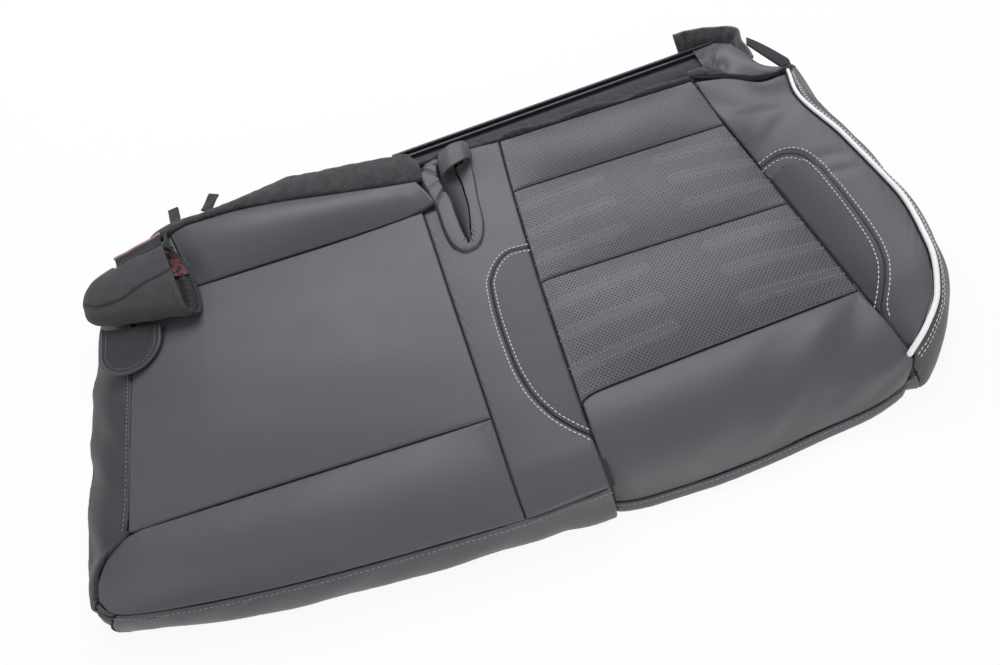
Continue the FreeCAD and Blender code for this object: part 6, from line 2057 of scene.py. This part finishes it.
@dataclass
class SeamAllowances:
    """The panels' edges, turned in under each seam and bound together in black."""

    below: float = 4.4

    def build(self, outboard: OutboardPlace) -> None:
        """Lays a dark strip under every seam of the cover."""
        left, both, inward = PLAN.left, (-5.3, 5.3), (-7.4, 3.4)
        y = np.linspace(-290, 186, 90)
        deep = y[y > -247]
        x = np.linspace(left + 1, 58, 90)
        centre, outer = x[x < -50], np.linspace(66, 338, 60)
        far = np.linspace(59, 380, 60)
        side = np.array([(left, 165, 45), (left, 0, 45), (left, -187, 45), (left - 4, -192, 45),
                         (left - 27, -207, 43), (left - 35, -228, 42), (left - 35, -244, 41),
                         (left - 28, -256, 40), (left - 14, -264, 39)], float)
        rear = np.array([(339, 188, 55), (371, 173.5, 58), (405, 152.8, 58), (424, 144.5, 61.5),
                         (441, 139, 69)], float)
        tip = np.array([(377.5, -243, 46), (379.5, -251, 47), (380.5, -257, 42), (382.5, -260.5, 32),
                        (386, -264, 20), (391, -270.5, 5)], float)
        for name, line, width in (
                ("strip_left", stack(PLAN.strip_left(y), y, PLAN.strip_z(y) - PLAN.strip_dip(y)), both),
                ("strip_right", stack(PLAN.strip_right(y), y, PLAN.strip_z(y)), both),
                ("bolster",
                 stack(PLAN.bolster_seam(deep), deep, through([(-248, 49), (120, 50), (187, 56)], deep)),
                 both),
                ("inner_side", evenly(side, 5), inward),
                ("centre_thigh",
                 stack(centre - 5, PLAN.thigh - 1, through([(left, 46), (left + 98, 50)], centre)), both),
                ("outer_thigh", stack(outer, outboard.hooked(outer), 50), both),
                ("front_band", stack(outer, outboard.front_seam(outer), 50), both),
                ("middle_band", stack(outer, outboard.middle_seam(outer), 50), both),
                ("valley", stack(centre, PLAN.valley, PLAN.valley_z(PLAN.share(centre))), both),
                ("pocket_rear", np.linspace((0, 148, 50.4), (0, 206, 50.4), 14), (-14, 14)),
                ("roll_end", evenly(np.array([(left + 81, 119, 41), (left + 54, 210, 50)], float), 5), both),
                ("centre_hem", stack(centre, PLAN.roll_rear(centre), PLAN.hem_height(centre)), both),
                ("rear_hem", stack(np.linspace(-49, 338, 60), PLAN.rear_band, 56), both),
                ("bolster_rear", evenly(rear, 5), both),
                ("centre_front", stack(x, PLAN.centre_front(x), 40), inward),
                ("outer_front", stack(far, PLAN.outer_front(far), 15), inward)):
            self.lay("seam_allowance_" + name, line, width)
        cord("seam_allowance_front_corner", evenly(tip, 2), 4.6, TWILL)
        gathered = evenly(side[2:-2] + np.array([1.5, 1.0, 2.2]), 1.5)
        pleats = 2.3 + 0.7 * waves(along(gathered), 9, 201)
        cord("front_corner_binding", gathered, pleats, TWILL, 12, 0.8)

    def lay(self, name: str, line: Array, width: tuple[float, float]) -> None:
        """One strip, level across its seam and a little below it.

        Args:
            name: The piece's name.
            line: The seam's points.
            width: How far it reaches to the left and to the right of the way that the line runs.
        """
        run = unit(np.gradient(line, axis=0) * np.array([1, 1, 0]))
        side = np.stack([run[:, 1], -run[:, 0], 0 * run[:, 0]], -1)
        across = np.linspace(*width, 7)
        points = (line - UP * self.below)[:, None] + side[:, None] * across[None, :, None]
        single_layer(name, points, points - UP, TWILL)


@dataclass
class Threads:
    """The topstitches, the red loops and the perforations."""

    pitch: float = 5.2
    row_gaps: tuple[float, float] = (4.9, -4.3)
    hole_pitch: float = 3.5
    seam_margin: float = 3.4
    loop_margin: float = 8.4
    lattice_corner: tuple[float, float] = (52, -200)
    lattice_size: tuple[int, int] = (74, 162)
    loop_half: float = 4.2
    loop_trim: float = 3
    loops: Sequence[tuple[float, float, float, float]] = (
        (66, 71.6, 173.3, 76.1), (64.5, 26.5, 175.4, 34.9), (62.9, -13.5, 176.1, -7.8),
        (348, 70.4, 246.7, 76.9), (352, 31.2, 250.5, 38.4), (355, -5.7, 252.4, -2.6),
        (61, -81, 177.1, -69.3), (60.6, -120, 177.8, -112.3), (60.2, -163, 179.4, -150.7),
        (361, -68.5, 249.9, -65.7), (364.6, -107.8, 254.6, -105.6), (368, -145.3, 256, -145.1))

    def build(self, centre: CentrePlace, outboard: OutboardPlace) -> None:
        """Sews every row on the cover's own body."""
        self.white_rows(outboard)
        self.grey_rows(centre, outboard)
        tracks = self.red_loops()
        self.perforations(tracks)

    def white_rows(self, outboard: OutboardPlace) -> None:
        """Two rows beside each patch's seam and two outside the piping."""
        marks = Marks()
        for patch, seam, names in ((STRIP_PATCH, PLAN.strip_right, ("centre_strip_panel_sewn",
                                                                    "centre_strip_patch_sewn")),
                                   (BOLSTER_PATCH, PLAN.bolster_seam, ("outer_bolster_panel_sewn",
                                                                       "outer_bolster_patch_sewn"))):
            ground = Ground(*names)
            for grow in self.row_gaps:
                marks.add(*ground.drop(patch.row(seam, grow, 1.2, 1.5), 0.3))
            # A thin dark cord sunk along each patch's seam: painted shadow of the seam's groove.
            seam_shadow, _ = ground.drop(patch.row(seam, 0.4, 1.6, 2), -0.35)
            cord(names[1].replace("sewn", "seam"), seam_shadow, 0.75, TWILL, 8)
        for far in (6.6, 11.4):
            points, out = outboard.side.beside(2, far)
            marks.add(points[10:] + 0.3 * out[10:], out[10:])
        sew(WHITE_STITCHES, "white_topstitches", marks, "leatherette", pitch=self.pitch,
            length=3.9, width=1.25)

    def grey_rows(self, centre: CentrePlace, outboard: OutboardPlace) -> None:
        """One row below each front seam and one beside the inner side panel's seam."""
        marks = Marks()
        for cloth, far, trim in ((centre.skirt, 5.6, 4), (outboard.skirt, 4.4, 4), (centre.side, 5.4, 8)):
            points, out = cloth.beside(2, far)
            straight = points[:, 1] > (-188 if cloth is centre.side else -400)
            points, out = points[straight], out[straight]
            marks.add(points[trim:-2] + 0.2 * out[trim:-2], out[trim:-2])
        sew(GREY_STITCHES, "grey_topstitches", marks, "leatherette", pitch=5.6, length=3.6,
            width=0.95)

    def red_loops(self) -> list[Array]:
        """Long loops of red thread: two rows joined by a round end.

        Returns:
            The middle line of each loop.
        """
        ground = Ground("outer_insert_front_sewn", "outer_insert_middle_sewn")
        marks, tracks = Marks(), []
        for x0, y0, x1, y1 in self.loops:
            start, end = np.array([x0, y0]), np.array([x1, y1])
            run = (end - start) / np.linalg.norm(end - start)
            side = np.array([-run[1], run[0]])
            half, end = self.loop_half, end - self.loop_trim * run
            turn = np.linspace(math.pi / 2, -math.pi / 2, 14)[:, None]
            cap = end + half * (np.sin(turn) * side + np.cos(turn) * run)
            line = np.concatenate([[start + half * side], cap, [start - half * side]])
            marks.add(*ground.drop(evenly(line, 1.2, smooth=False), 0.16))
            tracks.append(np.stack([start, end]))
        sew(RED_STITCHES, "red_loop_stitches", marks, "perforated_leatherette", pitch=3.7,
            length=2.2, width=1.2)
        # A finer dark row under the pale dashes: the real thread between them, with its darker colour painted
        # shade.
        sew(SHADED_RED_STITCHES, "red_loop_sunk_thread", marks, "perforated_leatherette", pitch=1.85,
            length=2.0, width=0.6)
        return tracks

    def perforations(self, tracks: list[Array]) -> None:
        """Punched holes on a lattice turned by 45 degrees, left out beside the loops and seams."""
        half = self.hole_pitch / math.sqrt(2)
        outboard = OutboardPlace()
        seams = [(outboard.hooked, outboard.front_seam, "outer_insert_front_sewn"),
                 (outboard.front_seam, outboard.middle_seam, "outer_insert_middle_sewn"),
                 (outboard.middle_seam, lambda x: PLAN.rear_band + 0 * x, "outer_insert_rear_sewn")]
        columns, rows = np.meshgrid(*(np.arange(count) for count in self.lattice_size))
        left, front = self.lattice_corner
        spots = np.stack([left + columns * 2 * half + (rows % 2) * half, front + rows * half], -1)
        spots = spots.reshape(-1, 2)
        x, y = spots[:, 0], spots[:, 1]
        margin = self.seam_margin
        sides = (x > PLAN.strip_right(y) + margin) & (x < PLAN.bolster_seam(y) - margin - 0.2)
        clear = np.min([nearest(spots, track) for track in tracks], axis=0) > self.loop_margin
        for ahead, behind, name in seams:
            kept = spots[sides & clear & (y > ahead(x) + margin) & (y < behind(x) - margin)]
            marks = Marks(joined=False)
            marks.add(*Ground(name).drop(kept, -0.22))
            sew(PUNCHED_HOLES, name.replace("sewn", "perforations"), marks, "perforated_leatherette",
                radius=0.76, depth=0.6)


@dataclass
class Fasteners:
    """The plastic profiles and wires that are kept as solids, and the listings sewn round the wires."""

    radius: float = 4.2
    tail: float = 8.7
    below: float = 9.0
    inset: float = 14

    def build(self) -> None:
        """Dresses the rigid parts and makes the listings."""
        for name in ("rear_retainer_rail", "centre_front_retainer", "outer_front_retainer",
                     "inner_side_retainer", "outer_side_retainer"):
            self.dress(name, RAIL)
        thigh = PLAN.thigh_line
        start = float(PLAN.strip_right(PLAN.outer_thigh)) + self.inset
        end = float(PLAN.bolster_seam(PLAN.outer_thigh)) - self.inset
        left = float(PLAN.strip_left(PLAN.thigh)) - self.inset
        for name, a, b, under in (
                ("strip_left", (float(PLAN.strip_left(-173)), -173), (float(PLAN.strip_left(-30)), -30), 45),
                ("strip_right", (float(PLAN.strip_right(-164)), -164), (float(PLAN.strip_right(0)), 0), 45),
                ("bolster", (float(PLAN.bolster_seam(-160)), -160), (float(PLAN.bolster_seam(95)), 95), 45),
                ("valley", (-332, 119), (float(PLAN.strip_left(PLAN.valley)) - 150, 119), 35),
                ("centre_thigh", (-282, -187), (left, -187), 45),
                ("outer_thigh", (start, float(thigh(start))), (end, float(thigh(end))), 45)):
            self.dress("listing_wire_" + name, WIRE)
            self.listing(name, np.array([*a, under - self.below]), np.array([*b, under - self.below]))

    def dress(self, name: str, finish: Finish) -> None:
        """Gives a solid that stays its finish."""
        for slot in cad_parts[name].material_slots:
            slot.material = finish.material()
        LOG.info("%s: kept, in %s", name, finish.name)

    def listing(self, name: str, start: Array, end: Array) -> None:
        """A tape sewn round a wire, its tail in the seam above, puckered between its stitches."""
        long = float(np.linalg.norm(end - start))
        run = (end - start) / long
        side = np.array([-run[1], run[0], 0])
        low = np.linspace(math.radians(104), math.radians(436), 30)
        profile = np.stack([np.cos(low) * self.radius, np.sin(low) * self.radius], -1)
        tip = np.array([(1.0, 5.4), (1.0, 7.2), (0.9, self.tail), (-0.9, self.tail), (-1.0, 7.2),
                        (-1.0, 5.4)])
        profile = np.concatenate([profile, tip])
        bore = profile / np.linalg.norm(profile, axis=1, keepdims=True) * 1.75
        at = spaced(long, 2.4, edges=False) * long
        swell_out = 1 + 0.05 * waves(at, 22, 201)[:, None]
        middle = (start + at[:, None] * run)[:, None]
        outer = middle + (profile[None, :, 0] * swell_out)[..., None] * side + profile[None, :, 1, None] * UP
        inner = middle + bore[None, :, 0, None] * side + bore[None, :, 1, None] * UP
        piece = shell("listing_sleeve_" + name + "_sewn", outer, inner, (LISTING,), Side.OWN, wrap=True)
        clean(piece)
        hand_over(piece, ("listing_sleeve_" + name,))


@dataclass
class FeltFuzz:
    """Fibres that stand out of the felt."""

    density: float = 90000
    length: float = 0.0034
    width: float = 0.00011

    def build(self) -> None:
        """Teases fibres out of each felt piece, one mesh for each."""
        for name, body in (("centre_rear_hem_felt", "root"), ("outer_rear_hem_felt", "root"),
                           ("rear_flap_felt", "rear_flap"), ("corner_flap_felt", "corner_flap")):
            copy = bpy.data.objects[name].copy()
            copy.data = bpy.data.objects[name].data.copy()
            bpy.context.scene.collection.objects.link(copy)
            fuzz = FELT_FIBRES.grow(name + "_fibres", copy,
                                    {"Density": self.density, "Length": self.length, "Width": self.width})
            hand_over(fuzz, (), body)


@dataclass
class Studio:
    """A white floor, soft lamps and the camera, whose focal length and horizon are in pixels."""

    focal: float = 720.0
    horizon: float = 1150.0
    place: tuple[float, float, float] = (1, -513, 724.6)
    roll: float = 17.5
    pixels: int = 1000
    paper: float = 16.0

    def build(self) -> None:
        """Sets the floor, the light and the view."""
        self.floor()
        self.lamps()
        self.camera()
        view = bpy.context.scene.view_settings
        view.view_transform = "Standard"

    def seen(self, tree: Tree) -> Socket:
        """1 for the camera's own rays and for what metal and glass mirror."""
        path = add_node(tree, "ShaderNodeLightPath")
        both = add_node(tree, "ShaderNodeMath",
                        {0: path.outputs["Is Camera Ray"], 1: path.outputs["Is Glossy Ray"]},
                        operation="MAXIMUM")
        return add_node(tree, "ShaderNodeMath", {0: both.outputs[0], 1: path.outputs["Is Transmission Ray"]},
                        operation="MAXIMUM").outputs[0]

    def floor(self) -> None:
        """A wide matt sheet of white paper, which keeps a light shadow."""
        data = bpy.data.meshes.new("paper_floor")
        far = self.paper / 2
        data.from_pydata([(-far, -far, 0), (far, -far, 0), (far, far, 0), (-far, far, 0)], [], [(0, 1, 2, 3)])
        paper = bpy.data.materials.new("Matt white paper")
        tree = bare_tree(paper)
        matt = add_node(tree, "ShaderNodeBsdfDiffuse", {"Color": linear("#f4f4f4")})
        lit = add_node(tree, "ShaderNodeEmission", {"Color": (1, 1, 1, 1), "Strength": 1.0})
        share = add_node(tree, "ShaderNodeMath", {0: self.seen(tree), 1: 0.9}, operation="MULTIPLY")
        both = add_node(tree, "ShaderNodeMixShader",
                        {0: share.outputs[0], 1: matt.outputs[0], 2: lit.outputs[0]})
        add_node(tree, "ShaderNodeOutputMaterial", {"Surface": both.outputs[0]})
        data.materials.append(paper)
        floor = put("paper_floor", data)

    def lamps(self) -> None:
        """A large softbox behind and above, weaker ones in front and at the left, and a pale sky."""
        world = bpy.data.worlds.new("Pale studio")
        bpy.context.scene.world = world
        tree = bare_tree(world)
        sky = add_node(tree, "ShaderNodeBackground", {"Color": linear("#eef0f4"), "Strength": 0.42})
        white = add_node(tree, "ShaderNodeBackground", {"Color": (1, 1, 1, 1), "Strength": 1.0})
        path = add_node(tree, "ShaderNodeLightPath")
        both = add_node(tree, "ShaderNodeMixShader", {0: path.outputs["Is Camera Ray"], 1: sky.outputs[0],
                                                     2: white.outputs[0]})
        add_node(tree, "ShaderNodeOutputWorld", {"Surface": both.outputs[0]})
        for name, place, aim, wide, tall, power, tone in (
                ("rear_softbox", (0.25, 1.5, 1.7), (0.05, 0.05, 0), 2.6, 1.4, 46, "#f6f8ff"),
                ("front_softbox", (0.5, -1.9, 0.75), (0, -0.25, 0), 1.8, 0.8, 15, "#ffffff"),
                ("left_softbox", (-1.6, -0.5, 1.5), (0, 0, 0), 1.2, 1.2, 5, "#ffffff")):
            lamp = bpy.data.lights.new(name, "AREA")
            lamp.shape = "RECTANGLE"
            lamp.size, lamp.size_y, lamp.energy = wide, tall, power
            lamp.color = linear(tone)[:3]
            turned = (Vector(aim) - Vector(place)).to_track_quat("-Z", "Y").to_matrix().to_4x4()
            put(name, lamp).matrix_world = Matrix.Translation(place) @ turned

    def camera(self) -> None:
        """The photograph's view: from the front, above, and tilted to one side."""
        steep = math.atan2(self.horizon, self.focal)
        turn = math.radians(self.roll)
        x = Vector((1, 0, 0))
        up = Vector((0, math.sin(steep), math.cos(steep)))
        look = Vector((0, math.cos(steep), -math.sin(steep)))
        right = math.cos(turn) * x - math.sin(turn) * up
        top = math.sin(turn) * x + math.cos(turn) * up
        lens = bpy.data.cameras.new("portrait")
        lens.sensor_width, lens.lens = 36, 36 * self.focal / self.pixels
        lens.clip_start, lens.clip_end = 0.01, 50
        holder = put("portrait", lens)
        holder.matrix_world = Matrix.Translation(Vector(self.place) * MM) @ Matrix(
            (right, top, -look)).transposed().to_4x4()
        bpy.context.scene.camera = holder


def main() -> None:
    """Builds the studio and every sub-assembly."""
    logging.basicConfig(level=logging.INFO, format="%(name)s: %(message)s")
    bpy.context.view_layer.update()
    Studio().build()
    centre, outboard = CentrePlace(), OutboardPlace()
    centre.build()
    PlainStrip().build()
    outboard.build()
    RearHems().build()
    BuckleSleeve().build()
    Fasteners().build()
    SeamAllowances().build(outboard)
    Threads().build(centre, outboard)
    FeltFuzz().build()


if __name__ == "__main__":
    main()
